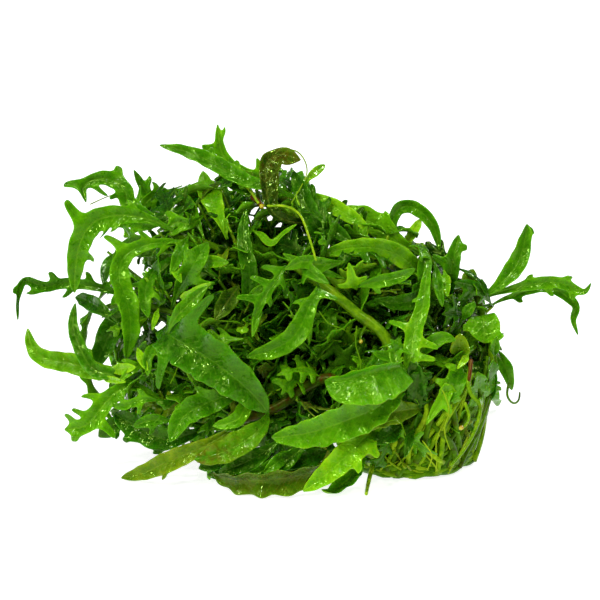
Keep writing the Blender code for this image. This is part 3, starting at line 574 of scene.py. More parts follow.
# Each leaf that a solid stands for: its stem, the share of the stem's length at which it grows, its width,
# the share of its length at which it is broadest, its rib as (across, up, out), its fingers, its roll at
# foot and tip, its finish and its shade, from painted shade (0) through painted light (0.5) to its youngest
# green (1), or its shades at foot and tip. A finger is the share of the rib, its side, its length and how far
# it sweeps towards the tip, in degrees.
LARGE_LEAVES = {
    "leaf_far_left_dangling": ("stem_left", 0.99, 2.2, 0.55,
        [(-38, 31.5, 8), (-46, 33, 7), (-51, 32.2, 8), (-54.8, 33.6, 9), (-56.2, 30.6, 10),
         (-56.2, 25.6, 10)],
        [(0.3, RIGHT, 1.2, 30), (0.42, RIGHT, 2.0, 30), (0.5, LEFT, 2.6, 40), (0.6, RIGHT, 1.8, 20),
         (0.7, LEFT, 2.0, 50), (0.84, RIGHT, 1.0, 30)], (20, -20), "leaf_old", 0.75),
    "leaf_left_arch": ("stem_upper_left", 0.97, 4.8, 0.55,
        [(-30, 45.6, 15), (-36, 46.4, 16), (-41, 45, 16.5), (-43.6, 41, 16), (-44.6, 36, 15),
         (-44.8, 31, 14)],
        [(0.3, RIGHT, 1.8, 30), (0.4, LEFT, 1.4, 50), (0.5, LEFT, 2.6, 60), (0.6, RIGHT, 4.6, -15),
         (0.75, LEFT, 1.6, 30)], (10, -10), "leaf_young", 0.25),
    "leaf_upper_left_loop": ("stem_upper_left", 0.9, 3.4, 0.55,
        [(-33, 47.6, 9), (-34.8, 51.4, 8), (-37.6, 53.6, 7), (-41, 53.6, 7), (-43.4, 52, 8), (-42.6, 49, 9)],
        [(0.45, RIGHT, 3.6, 40), (0.58, LEFT, 1.8, -10), (0.68, RIGHT, 1.6, 20), (0.82, LEFT, 3.4, -30),
         (0.9, RIGHT, 3.0, 30)], (0, 0), "leaf", 0.5),
    "leaf_left_pale_crescent": ("stem_low_left", 0.94, 4.2, 0.55,
        [(-34.4, 14.4, 17.4), (-40, 15.2, 13.6), (-45.6, 17, 12), (-50.4, 17.8, 11), (-53.2, 20, 10),
         (-54.2, 24, 9)], [(0.5, RIGHT, 1.8, 20)], (15, 0), "leaf_young", 0.45),
    "leaf_left_sickle": ("stem_low_left", 0.87, 2.9, 0.55,
        [(-36, 14.4, 21), (-40.8, 15.8, 20), (-43.4, 19.8, 19), (-45, 24.4, 17.5), (-44.6, 29, 15)],
        [], (-15, 15), "leaf", 0.35),
    "leaf_left_olive": ("stem_left", 0.96, 5.0, 0.55,
        [(-35.6, 26.4, 11), (-37.6, 23, 10.5), (-39.4, 19.4, 10), (-41, 15.4, 9)],
        [], (10, 20), "leaf_old", 0.6),
    "leaf_left_hanging": ("stem_upper_left", 0.84, 4.4, 0.72,
        [(-27, 41, 17), (-34, 39, 19), (-36, 34.6, 20.5), (-34.4, 29.6, 21.5), (-33.6, 24, 21.5),
         (-34.4, 17.8, 20.5)],
        [(0.25, LEFT, 2.4, 50), (0.45, RIGHT, 4.0, 10), (0.35, RIGHT, 2.2, 30), (0.58, LEFT, 2.2, 40),
         (0.7, RIGHT, 1.4, 40)], (0, -15), "leaf", 0.65),
    "leaf_low_left_forked": ("stem_low_left", 0.82, 3.8, 0.75,
        [(-33, 12.6, 23), (-37.4, 10.4, 24), (-40, 7.4, 24.5), (-42.4, 4.8, 24.5), (-46.6, 4, 23.5)],
        [(0.5, LEFT, 2.2, 40), (0.62, RIGHT, 3.2, 35), (0.76, LEFT, 3.8, 10), (0.78, RIGHT, 2.6, 20),
         (0.92, RIGHT, 2.4, 40), (0.9, LEFT, 1.6, 30)], (10, 0), "leaf_young", 0.35),
    "leaf_low_left_broad": ("stem_low_left", 0.66, 5.4, 0.68,
        [(-22, 3, 25), (-27, 2.2, 25), (-32, 4.4, 23.5), (-36.8, 7.2, 21)],
        [(0.5, LEFT, 1.4, 30), (0.75, LEFT, 1.2, 30)], (-20, 0), "leaf_old", 0.5),
    "leaf_low_left_yellow": ("stem_front_low", 0.99, 4.2, 0.55,
        [(-17.4, 1.6, 30), (-22.4, -0.8, 29), (-26.6, -2.6, 27.4), (-30.6, -4.4, 25), (-35.4, -5.6, 23)],
        [(0.62, LEFT, 1.4, 40)], (0, 10), "leaf_olive", 0.6),
    "leaf_floor_boat": ("stem_low_left", 0.28, 5.8, 0.6,
        [(4.4, -1.2, 28), (2, -4.2, 33.4), (-3, -5.2, 35.2), (-8, -5.6, 35), (-13, -5.6, 32.2),
         (-17.2, -4.4, 28.4)], [], (-32, -32), "leaf_olive", 0.3),
    "leaf_front_forked": ("stem_front_low", 0.2, 5.4, 0.55,
        [(14.6, 4.6, 30), (12.2, 2, 34), (9.4, -0.6, 36.4), (6, -3.8, 37.6), (3, -6.2, 38), (0.6, -8, 37.6)],
        [(0.36, RIGHT, 1.8, 20), (0.45, LEFT, 2.2, 0), (0.6, LEFT, 1.6, 30)], (0, 0), "leaf_young", 0.65),
    "leaf_front_brown_tip": ("stem_front_low", 0.85, 5.4, 0.55,
        [(-7.6, 4.6, 33.5), (-11.6, 1.4, 35), (-16.2, -0.8, 34.6), (-20.8, -1.8, 33)],
        [], (10, 20), "leaf", 0.6),
    "leaf_front_long": ("stem_front", 0.26, 7.2, 0.55,
        [(19, 11.6, 32), (14.6, 8.2, 35.2), (8.6, 5.8, 37.4), (1.8, 3.6, 37.8), (-5.6, 2.6, 36)],
        [], (-10, -15), "leaf_young", 0.35),
    "leaf_front_folded": ("stem_front", 0.4, 7.8, 0.68,
        [(19.6, 17, 33), (16, 16, 37), (11.6, 14.8, 38.6), (8, 13.9, 38.8), (4.8, 13.8, 38)],
        [], (0, 20), "leaf", 0.65),
    "leaf_front_broad": ("stem_left", 0.88, 9.4, 0.55,
        [(-26.4, 24.6, 22), (-25.6, 22.6, 29.4), (-21, 20, 33), (-15, 16, 35), (-9.6, 11.4, 35.4),
         (-6.2, 7.4, 34.4)],
        [(0.42, RIGHT, 6.0, 5), (0.46, LEFT, 8.0, 25), (0.3, RIGHT, 1.6, 0)], (0, 10), "leaf", 0.3),
    "leaf_left_glossy": ("stem_left", 0.76, 3.4, 0.55,
        [(-20.4, 30.4, 19), (-22.6, 29, 25), (-21, 30.6, 29.4), (-17.4, 33, 30.2)], [], (0, 15),
        "leaf_young", 0.6),
    "leaf_left_upright": ("stem_left", 0.92, 4.2, 0.7,
        [(-24.4, 31, 17), (-23, 33.4, 21), (-20.8, 37, 24.6), (-18.2, 41, 22.6)],
        [(0.6, RIGHT, 4.0, 20), (0.75, LEFT, 1.4, 40)], (20, -10), "leaf", 0.6),
    "leaf_centre_upright": ("stem_left", 0.5, 3.4, 0.55,
        [(-9.6, 29, 20), (-10, 35, 21.5), (-11, 40, 20.6), (-11.2, 44, 18.6), (-10.6, 47.6, 17)],
        [], (0, 10), "leaf_old", 0.6),
    "leaf_centre_feathered": ("stem_front", 0.97, 1.8, 0.55,
        [(-3.2, 35.8, 28), (-5, 33, 29), (-7.2, 30, 29.6), (-8.8, 26.4, 29.6), (-9.4, 22.8, 29)],
        [(0.3, RIGHT, 3.4, 20), (0.47, RIGHT, 3.8, 15), (0.66, RIGHT, 4.2, 25), (0.34, LEFT, 2.4, 40),
         (0.6, LEFT, 1.6, 40)], (0, 0), "leaf", 0.45),
    "leaf_centre_swoop": ("stem_front", 0.85, 4.4, 0.55,
        [(3.4, 31, 29), (1.6, 28, 30), (0.2, 24.6, 31), (-2.4, 21.4, 31.8), (-6, 19.6, 32.2),
         (-10.6, 18.4, 31.6)],
        [(0.2, LEFT, 3.4, 0), (0.52, LEFT, 2.4, 60), (0.3, RIGHT, 2.0, 40)], (0, -15), "leaf", 0.6),
    "leaf_upper_right_pale": ("stem_right", 0.7, 4.4, 0.55,
        [(23, 36, 14), (19, 38.8, 17), (14.4, 40, 19.6), (9, 39.8, 20.6), (4, 38.4, 20.4)],
        [], (-20, 10), "leaf_young", 0.55),
    "leaf_right_tongue": ("stem_right", 0.5, 4.0, 0.55,
        [(26.4, 30.6, 15), (22.6, 29.6, 19), (19, 29, 21), (14.6, 29.8, 22)], [], (0, 0), "leaf_old", 0.7),
    "leaf_right_bright_forked": ("stem_right", 0.84, 3.4, 0.78,
        [(25.6, 36.6, 17), (24.8, 32.6, 21), (24.2, 28.2, 24), (22.8, 24.2, 26), (22, 20.2, 28),
         (21.2, 14, 30)],
        [(0.72, RIGHT, 3.8, -15), (0.76, LEFT, 3.6, 10), (0.88, LEFT, 3.4, 0), (0.5, RIGHT, 1.2, 30)],
        (0, 0), "leaf_young", (0.3, 0.6)),
    "leaf_right_frilled": ("stem_right", 0.2, 3.2, 0.55,
        [(32, 15.4, 20), (30, 13.6, 25), (28.4, 10.6, 28), (26.6, 8, 30), (24.8, 5, 31)],
        [(0.45, RIGHT, 1.6, 10), (0.6, RIGHT, 1.8, 10), (0.6, LEFT, 1.4, 20), (0.75, RIGHT, 1.6, 0),
         (0.85, LEFT, 2.2, 30)], (0, 0), "leaf", 0.95),
    "leaf_top_left_long": ("stem_top", 0.96, 3.4, 0.55,
        [(-5, 51.6, 15), (-10, 53, 14), (-14, 55, 13), (-18.4, 57.4, 12), (-23, 59.2, 11), (-28, 60.4, 10)],
        [(0.5, RIGHT, 1.2, 20), (0.68, RIGHT, 1.2, 20)], (0, 20), "leaf", 0.5),
    "leaf_top_antler": ("stem_top", 0.99, 2.6, 0.55,
        [(-8, 53.6, 10), (-13, 55.8, 9.4), (-15.4, 58.6, 9), (-16.2, 62, 9), (-16.4, 64.6, 9)],
        [(0.4, RIGHT, 3.0, 30), (0.6, LEFT, 1.6, 30), (0.8, LEFT, 2.6, 20), (0.9, RIGHT, 1.6, 60)], (0, 0),
        "leaf_young", 0.4),
    "leaf_top_folded": ("stem_top", 0.87, 4.5, 0.84,
        [(-1, 45, 16), (-5.6, 47, 17.4), (-6.8, 52.6, 16.2), (-6.6, 57, 14.4), (-3.8, 58.6, 13.6),
         (0.2, 57.4, 14)], [], (10, 0), "leaf_olive", (-0.2, 0.3)),
    "leaf_top_dark": ("stem_top", 0.72, 4.2, 0.55,
        [(4, 43.6, 16.6), (1.8, 47.4, 17), (0.2, 51.4, 15.2), (-1.4, 55.2, 12.2)],
        [], (-15, -15), "leaf_old", 0.55),
    "leaf_upper_right_strap": ("stem_top_right", 0.99, 3.4, 0.55,
        [(13, 43.8, 17), (10.4, 45.8, 16), (6, 48.4, 15.2), (1.6, 50.8, 13.8)],
        [], (20, 10), "leaf_young", 0.65),
    "leaf_upper_right_broad": ("stem_right", 0.93, 5.0, 0.62,
        [(19.6, 41, 13), (16.2, 43.8, 13.4), (12, 46.2, 12.6), (7.6, 47.6, 11.6)],
        [(0.55, RIGHT, 1.0, 30)], (0, 15), "leaf", 0.85),
    "leaf_right_hoop": ("stem_right", 0.99, 2.9, 0.55,
        [(19.4, 42, 8), (18.4, 45.8, 7), (20.6, 48.4, 6.8), (24, 47.4, 7.4), (26.8, 44, 8),
         (27.8, 39.4, 8.6)],
        [], (25, -10), "leaf", 0.5),
    "leaf_right_horn": ("stem_right", 0.62, 3.2, 0.55,
        [(30, 33.6, 10), (30.2, 36, 11), (30.8, 39.4, 11), (31.6, 42.6, 10.4)],
        [(0.62, LEFT, 2.8, 20), (0.85, RIGHT, 1.2, 10)], (0, 0), "leaf", 0.45),
    "leaf_right_sword": ("stem_far_right", 0.99, 3.9, 0.5,
        [(37.6, 31, 11.6), (41.8, 34.8, 11), (44.2, 39.4, 10), (45.2, 44.8, 9)],
        [(0.92, RIGHT, 0.8, 0)], (-25, 20), "leaf", 0.55),
    "leaf_far_right_lobed": ("stem_far_right", 0.93, 2.5, 0.5,
        [(40, 31.2, 10.4), (45.6, 32.6, 9.4), (50.4, 33.2, 8.4), (54.4, 32, 7.6), (56.6, 31, 7.2),
         (58, 33, 7)],
        [(0.42, LEFT, 1.0, 30), (0.55, RIGHT, 1.8, 30), (0.7, LEFT, 1.2, 40), (0.8, RIGHT, 1.4, 20)], (0, 0),
        "leaf", 0.6),
    "leaf_far_right_trailing": ("stem_far_right", 0.84, 2.2, 0.55,
        [(39.6, 29.4, 7.6), (44, 31, 6.4), (48.6, 32.2, 5.6), (52, 31, 5.2), (55, 28.4, 5), (54.4, 25.6, 5.4),
         (55.4, 22.6, 6)], [(0.3, RIGHT, 1.2, 20)], (10, -20), "leaf", 0.5),
    "leaf_right_round": ("stem_far_right", 0.76, 6.6, 0.74,
        [(36.2, 26.6, 13.4), (36.5, 25.4, 15.6), (36.6, 23.4, 16.6), (36.4, 21, 16.8)],
        [(0.7, RIGHT, 0.9, 20), (0.85, LEFT, 0.8, 20)], (0, 0), "leaf_young", 0.4),
    "leaf_right_drooping": ("stem_far_right", 0.6, 2.8, 0.55,
        [(38.8, 19.6, 9), (40.4, 17.2, 9.4), (41.4, 14.6, 9.2), (42.2, 11.6, 8.4)],
        [], (0, -20), "leaf", 0.5),
    "leaf_right_wall": ("stem_far_right", 0.48, 5.6, 0.6,
        [(35.4, 17, 13), (36.8, 13.6, 14), (37.2, 9, 13.6)], [], (0, 20), "leaf_old", 0.5),
}
# What sets some of them apart: how much wider they are on their right than on their left, how deep they are
# cupped, and how brown they are at foot and tip.
HABITS = {
    "leaf_front_folded": {"lean": -0.8, "cupping": 0.5},
    "leaf_front_long": {"cupping": 0.45},
    "leaf_floor_boat": {"cupping": 0.8, "stain": 0.25},
    "leaf_front_brown_tip": {"stain": (0.05, 0.85)},
    "leaf_top_folded": {"lean": 0.4, "stain": (0.0, 0.5)},
    "leaf_left_pale_crescent": {"stain": 0.15},
    "leaf_low_left_yellow": {"stain": 0.12},
    "leaf_right_round": {"cupping": 0.2},
}
# The leaves of the sides and back: the same, with the rib as (x, distance to the front, height), and the
# way that the blade faces in place of its roll.
HIDDEN_LEAVES = {
    "leaf_back_left_high": ("stem_back_left", 0.9, 4.6, 0.55,
        [(-22, -19, 34.6), (-26, -23.6, 39.6), (-29, -26, 44)],
        [(0.4, RIGHT, 2.2, 35), (0.5, LEFT, 2.6, 35), (0.6, RIGHT, 2.6, 35)], (0, -1, 0.3), "leaf", 0.5),
    "leaf_back_left": ("stem_back_left", 0.99, 5.4, 0.55,
        [(-30, -16, 29.6), (-35, -18.8, 22.4), (-35.4, -18.8, 13), (-31, -16, 6), (-25.6, -12.6, 3)],
        [(0.4, RIGHT, 2.4, 35), (0.5, LEFT, 2.2, 35), (0.66, LEFT, 2.4, 35)], (-0.5, -1, 0.4), "leaf", 0.6),
    "leaf_back_middle": ("stem_back_left", 0.6, 6.0, 0.55,
        [(-7, -23, 26), (-12, -28, 19), (-15.6, -29.6, 11), (-17.6, -28, 4.4), (-18.4, -25.4, 1.4)],
        [(0.45, LEFT, 3, 35), (0.55, RIGHT, 3, 35), (0.66, LEFT, 2, 35)], (0, -1, 0.3), "leaf_old", 0.6),
    "leaf_back_low": ("stem_back_left", 0.3, 4.8, 0.55,
        [(8, -22, 14), (4, -29, 8), (-1, -34, 2.4), (-4, -37, 0.6)],
        [(0.5, RIGHT, 2.4, 35), (0.42, LEFT, 1.6, 35)], (0, -1, 0.8), "leaf", 0.5),
    "leaf_back_right_high": ("stem_back_right", 0.95, 4.4, 0.55,
        [(13, -22, 38), (8, -26.4, 40.6), (2, -29, 42.4)],
        [(0.5, LEFT, 2.4, 35), (0.65, RIGHT, 2.2, 35)], (0, -1, 0.4), "leaf", 0.6),
    "leaf_back_right": ("stem_back_right", 0.62, 4.8, 0.55,
        [(30, -24, 28), (35, -27, 22), (38, -28, 14)],
        [(0.5, LEFT, 2.6, 35)], (0.5, -1, 0.3), "leaf_old", 0.6),
    "leaf_back_right_low": ("stem_back_right", 0.3, 4.6, 0.55,
        [(34, -17, 12), (38, -23, 5), (40, -29, 0.6)],
        [(0.55, RIGHT, 2.2, 35)], (0.5, -0.6, 0.9), "leaf", 0.45),
    "leaf_side_left": ("stem_left", 0.9, 5.0, 0.55,
        [(-32, -1, 34), (-38.6, -5, 31), (-42.6, -8, 23), (-42.6, -8.4, 13.6), (-38.6, -6.6, 5.6),
         (-35.6, -5.4, 2.4)], [(0.5, LEFT, 2.4, 35), (0.66, RIGHT, 2.4, 35)], (-1, -0.3, 0.4), "leaf", 0.5),
    "leaf_crown_back": ("stem_top", 0.92, 4.8, 0.55,
        [(1, -6, 52.4), (-3, -14, 53), (-8, -21, 48.6)],
        [(0.5, LEFT, 2.6, 35), (0.6, RIGHT, 2.6, 35)], (0, -0.4, 1), "leaf", 0.6),
}
# Each leaf finish: its lamina in painted shade and in painted light, the lamina's youngest shade, and its rib.
LAMINA_SHADES = {
    "leaf": ("#0f3901", "#387703", "#68a808", "#78b01c"),
    "leaf_young": ("#276402", "#559604", "#94cc10", "#a0d030"),
    "leaf_old": ("#082901", "#205402", "#3e7c04", "#5c9016"),
    "leaf_olive": ("#143602", "#4e7406", "#8ca412", "#9da838"),
}


def lamina_finish(name):
    """Leaf blade: a waxy skin over soft green tissue, and wet, so it is deep green, veined and glinting."""
    dark, lit, young, rib = LAMINA_SHADES[name]
    rib_shade = linear(rib)
    finish, tree, shader, where = start_finish("wet_" + name + "_lamina")
    told = [add_node(tree, "Attribute", {"attribute_name": value}).outputs["Fac"] for value in BLADE_VALUES]
    from_rib, along, tint, edge, under, stain = told
    # Mottles about 2 mm across.
    mottle = add_node(tree, "TexNoise", {"Scale": 420.0, "Detail": 4.0, "Roughness": 0.74}, {"Vector": where})
    drift = add_node(tree, "Math", {"operation": "MULTIPLY_ADD", 1: 0.9, 2: -0.55}, {0: mottle})
    # Painted light: the edges, which are thinner, are painted lighter as if light shone through them.
    thinner = add_node(tree, "Math", {"operation": "POWER", 1: 2.0}, {0: edge})
    uneven = add_node(tree, "Math", {"operation": "MULTIPLY_ADD", 1: 0.28}, {0: thinner, 2: drift})
    shade = add_node(tree, "Math", {"operation": "ADD", "use_clamp": True}, {0: tint, 1: uneven})
    # Painted light and shade: a blade's shade runs from its painted shade, through its painted light, to its
    # youngest green.
    ramp = add_node(tree, "ValToRGB", {"stops": {0: dark, 0.5: lit, 1: young}}, {"Fac": shade})
    # The rib, about half a millimetre wide, and side veins about 1.7 mm apart that slant towards the tip.
    ribbed = add_node(tree, "MapRange", {1: 0.06, 2: 0.26, 3: 1.0, 4: 0.0}, {0: from_rib})
    slant = add_node(tree, "Math", {"operation": "MULTIPLY_ADD", 1: -1.1}, {0: from_rib, 2: along})
    spaced = add_node(tree, "Math", {"operation": "PINGPONG", 1: 0.85}, {0: slant})
    veined = add_node(tree, "MapRange", {1: 0.0, 2: 0.22, 3: 1.0, 4: 0.0}, {0: spaced})
    rib_share = add_node(tree, "Math", {"operation": "MULTIPLY", 1: 0.12}, {0: ribbed})
    pale = add_node(tree, "Math", {"operation": "MULTIPLY_ADD", 1: 0.07}, {0: veined, 2: rib_share})
    with_veins = add_node(tree, "Mix", {"data_type": "RGBA", 7: rib_shade}, {0: pale, 6: ramp})
    # Age browns a leaf in blotches of about a millimetre, and along its edges.
    blotch = add_node(tree, "TexNoise", {"Scale": 700.0, "Detail": 3.0}, {"Vector": where})
    blotched = add_node(tree, "MapRange", {1: 0.4, 2: 0.62}, {0: blotch})
    aged = add_node(tree, "Math", {"operation": "MAXIMUM"}, {0: blotched, 1: thinner})
    brown = add_node(tree, "Math", {"operation": "MULTIPLY", "use_clamp": True}, {0: aged, 1: stain})
    stained = add_node(tree, "Mix", {"data_type": "RGBA", 7: linear("#5e380a")},
                       {0: brown, 6: with_veins.outputs[2]})
    # The underside is paler, and less green.
    paler = add_node(tree, "Math", {"operation": "MULTIPLY", 1: 0.3}, {0: under})
    both = add_node(tree, "Mix", {"data_type": "RGBA", 7: rib_shade}, {0: paler, 6: stained.outputs[2]})
    # Water lies in beads of under a millimetre in patches, and as a rippled film elsewhere.
    beads = add_node(tree, "TexVoronoi", {"Scale": 900.0}, {"Vector": where})
    dome = add_node(tree, "MapRange", {1: 0.0, 2: 0.42, 3: 1.0, 4: 0.0, "interpolation_type": "SMOOTHSTEP"},
                    {0: beads})
    patch = add_node(tree, "TexNoise", {"Scale": 260.0, "Detail": 1.0}, {"Vector": where})
    beaded = add_node(tree, "MapRange", {1: 0.44, 2: 0.56}, {0: patch})
    bead_height = add_node(tree, "Math", {"operation": "MULTIPLY"}, {0: dome, 1: beaded})
    film = add_node(tree, "TexNoise", {"Scale": 1100.0, "Detail": 2.0}, {"Vector": where})
    # The blade swells and sinks gently over 4 mm or so, and the beads lie in its hollows.
    quilt = add_node(tree, "Math", {"operation": "MULTIPLY_ADD", 1: -1.6}, {0: patch, 2: bead_height})
    ripple = add_node(tree, "Math", {"operation": "MULTIPLY_ADD", 1: 0.6}, {0: film, 2: quilt})
    sunk = add_node(tree, "Math", {"operation": "MULTIPLY_ADD", 1: -0.12}, {0: veined, 2: ripple})
    deepest = add_node(tree, "Math", {"operation": "MULTIPLY_ADD", 1: -0.3}, {0: ribbed, 2: sunk})
    bump = add_node(tree, "Bump", {"Strength": 0.6, "Distance": 0.00026}, {"Height": deepest})
    # Where water has gathered the skin is mirror-smooth, and elsewhere it is waxy.
    gathered = add_node(tree, "MapRange", {1: 0.42, 2: 0.56}, {0: film})
    water = add_node(tree, "Math", {"operation": "ADD", "use_clamp": True}, {0: gathered, 1: bead_height})
    gloss = add_node(tree, "MapRange", {3: 0.4, 4: 0.1}, {0: water})
    # The light that the wet skin throws back is tinted by the green tissue just under it.
    set_node(tree, shader, {"Specular IOR Level": 0.5, "Specular Tint": linear("#b8ec48"),
                            "Coat Weight": 0.08, "Coat Roughness": 0.05},
             {"Base Color": both.outputs[2], "Normal": bump, "Roughness": gloss, "Coat Normal": bump})
    # Light goes through a blade under half a millimetre thick.
    set_node(tree, shader, {"Subsurface Weight": 0.3, "Subsurface Radius": (0.35, 1.0, 0.05),
                            "Subsurface Scale": 0.0008})
    return finish


def half_width(width, share, broadest):
    """Half a blade's width: a narrow foot, broadest at one place along the rib, and a pointed tip."""
    grown = min(share / broadest, 1.0)
    grown = grown * grown * (3 - 2 * grown)
    faded = max(1 - (max(share - broadest, 0) / (1 - broadest)) ** 2, 0) ** TIP_FULLNESS
    return max(width / 2 * (FOOT_WIDTH + (1 - FOOT_WIDTH) * grown) * faded, LEAST_HALF_WIDTH)


class Blade:
    """One leaf: a blade along a rib, with a finger here and there along its edges."""

    def __init__(self, line, width, broadest, fingers, facing, roll, tint, seed, step=BLADE_STEP,
                 columns=COLUMNS, lean=0.0, cupping=CUPPING, stain=0.0):
        self.width, self.broadest, self.tint = width, broadest, tint
        self.columns, self.lean, self.cupping, self.stain = columns, lean, cupping, stain
        self.chance = random.Random(seed)
        self.count = max(7, round(path_length(line) / step) + 1)
        self.points = even_points(line, self.count)
        self.along = tangents(self.points)
        middle = self.count // 2
        flat = carried_sides(self.along, self.along[middle].cross(facing), middle)
        self.sides = []
        for i, (way, side) in enumerate(zip(self.along, flat)):
            turn = roll[0] + (roll[1] - roll[0]) * i / (self.count - 1)
            self.sides.append(Matrix.Rotation(math.radians(turn), 3, way) @ side)
        self.verts, self.normals, self.faces = [], [], []
        self.from_rib, self.along_rib, self.thick, self.edge = [], [], [], []
        self.length = path_length(self.points)
        self.lay_lamina()
        taken = set()
        for finger in fingers:
            self.lay_finger(taken, *finger)

    def put(self, point, normal, from_rib, along_rib, thick, edge):
        """One point of the blade, with what is known there, and its number."""
        self.verts.append(point)
        self.normals.append(normal)
        self.from_rib.append(from_rib)
        self.along_rib.append(along_rib)
        self.thick.append(thick)
        self.edge.append(edge)
        return len(self.verts) - 1

    def lay_lamina(self):
        """The blade proper, cupped, grooved along its rib and gently waved along its edges."""
        wave = self.chance.uniform(3.4, 6.0)
        phases = {-1: self.chance.uniform(0, 6), 1: self.chance.uniform(0, 6)}
        for i, (point, way, side) in enumerate(zip(self.points, self.along, self.sides)):
            normal = side.cross(way)
            share = i / (self.count - 1)
            half = half_width(self.width, share, self.broadest)
            run = share * self.length
            for column in self.columns:
                hand = 1 if column > 0 else -1
                reach = half * column * (1 + self.lean * hand)
                ripple = WAVING * half * math.sin(2 * math.pi * run / wave + phases[hand])
                height = self.cupping * half * abs(column) ** 1.4 + ripple * column * column
                if column == 0:
                    height -= GROOVE * min(half, 1.0)
                ragged = 1 + RAGGEDNESS * math.sin(run * 2.1 + phases[hand] * 2) * abs(column)
                thick = BLADE_HALF_THICK + (EDGE_HALF_THICK - BLADE_HALF_THICK) * abs(column)
                self.put(point + side * (reach * ragged) + normal * height, normal,
                         abs(reach), run, thick, abs(column))
        across = len(self.columns)
        for i in range(self.count - 1):
            for k in range(across - 1):
                a = i * across + k
                self.faces.append((a, a + 1, a + 1 + across, a + across))

    def lay_finger(self, taken, share, hand, length, sweep):
        """A tapering finger that grows from two stretches of the blade's edge, where they are free."""
        across = len(self.columns)
        i = min(max(round(share * (self.count - 1)), 1), self.count - 2)
        if (i, hand) in taken or (i - 1, hand) in taken:
            return
        taken.update({(i, hand), (i - 1, hand)})
        edge = 0 if hand == LEFT else across - 1
        ring = [(i + k) * across + edge for k in (-1, 0, 1)]
        way, normal = self.along[i], self.normals[i * across]
        reach = self.sides[i] * hand
        root = self.verts[ring[1]]
        spread = (self.verts[ring[2]] - self.verts[ring[0]]) / 2
        start_run = self.along_rib[ring[1]]
        bend = math.radians(sweep)
        drop = self.chance.uniform(-0.35, 0.2)
        point = root
        before = 0.0
        for share_out, width_left in FINGER_TAPER:
            turned = bend * (0.55 + 0.6 * share_out)
            step = (reach * math.cos(turned) + way * math.sin(turned)) * (share_out - before) * length
            point = point + step + normal * (drop * (share_out**2 - before**2) * length)
            before = share_out
            half = spread * width_left
            middle = point - normal * FINGER_GROOVE
            out = [self.put(point - half, normal, half.length, start_run, EDGE_HALF_THICK, 1.0),
                   self.put(middle, normal, 0.1, start_run + share_out, BLADE_HALF_THICK * 0.8, 0.5),
                   self.put(point + half, normal, half.length, start_run, EDGE_HALF_THICK, 1.0)]
            for k in (0, 1):
                a, b, c, d = ring[k], ring[k + 1], out[k], out[k + 1]
                self.faces.append((a, b, d, c) if hand == LEFT else (b, a, c, d))
            ring = out

    def thicken(self, growth):
        """The closed blade: its front, its back and its rim, added to a growth."""
        count = len(self.verts)
        front = [v + n * t for v, n, t in zip(self.verts, self.normals, self.thick)]
        back = [v - n * t for v, n, t in zip(self.verts, self.normals, self.thick)]
        edges = {edge for face in self.faces for edge in zip(face, face[1:] + face[:1])}
        closed = self.faces + [tuple(v + count for v in reversed(face)) for face in self.faces]
        for a, b in sorted(edges):
            if (b, a) not in edges:
                closed.append((b, a, a + count, b + count))
        growth.add(front + back, closed, from_rib=self.from_rib * 2, along_rib=self.along_rib * 2,
                   tint=self.spread(self.tint) * 2, edge=self.edge * 2, under=[0.0] * count + [1.0] * count,
                   stain=self.spread(self.stain) * 2)

    def spread(self, amount):
        """An amount at each point: one for the whole leaf, or one for its foot and one for its tip."""
        foot, tip = amount if isinstance(amount, tuple) else (amount, amount)
        return [foot + (tip - foot) * min(run / self.length, 1) ** 2 for run in self.along_rib]


def foot_in(stem, share, towards):
    """The point inside a stem's skin where a leaf grows towards its first point."""
    foot_radius, tip_radius, points = STEMS[stem]
    line = even_points([place(*p) for p in points], 60)
    at = round(share * (len(line) - 1))
    way = tangents(line)[at]
    radius = foot_radius + (tip_radius - foot_radius) * share
    lean = towards - line[at]
    lean = (lean - lean.dot(way) * way).normalized()
    return line[at] + lean * radius * 0.6


def grow_leaf(node, stem, share, width, broadest, points, fingers, facing, roll, slot, tint, seed):
    """One of the leaves that a solid stands for, from inside its stem's skin."""
    growth = Growth(BLADE_VALUES)
    line = [foot_in(stem, share, points[0])] + points
    blade = Blade(line, width, broadest, fingers, facing, roll, tint, seed, **HABITS.get(node, {}))
    blade.thicken(growth)
    growth.finish(node + "_blade", laminae[slot], slot, [node], smooth_levels=1)


laminae = {slot: lamina_finish(slot) for slot in LAMINA_SHADES}
for seed, (node, leaf) in enumerate(LARGE_LEAVES.items()):
    stem, share, width, broadest, rib, fingers, roll, slot, tint = leaf
    points = [seen(*p) for p in rib]
    grow_leaf(node, stem, share, width, broadest, points, fingers, OUT, roll, slot, tint, seed)
for seed, (node, leaf) in enumerate(HIDDEN_LEAVES.items(), 100):
    stem, share, width, broadest, rib, fingers, faces_to, slot, tint = leaf
    points = [place(*p) for p in rib]
    facing = place(*faces_to).normalized()
    grow_leaf(node, stem, share, width, broadest, points, fingers, facing, (0, 0), slot, tint, seed)

# The small leaves of the front.
# Younger and smaller leaves, and fingers of leaves that stand deeper, grow between the large ones. Each
# comes up from inside the clump, so its foot is hidden.
MOUND_REACH = 36.0
MOUND_HALF_WIDTH = 52.0
MOUND_HALF_HEIGHT = 58.0
THINNEST_AT_EDGE = 0.02
LEAST_HEIGHT = 0.8
SMALL_LEAF_STEP = 1.0
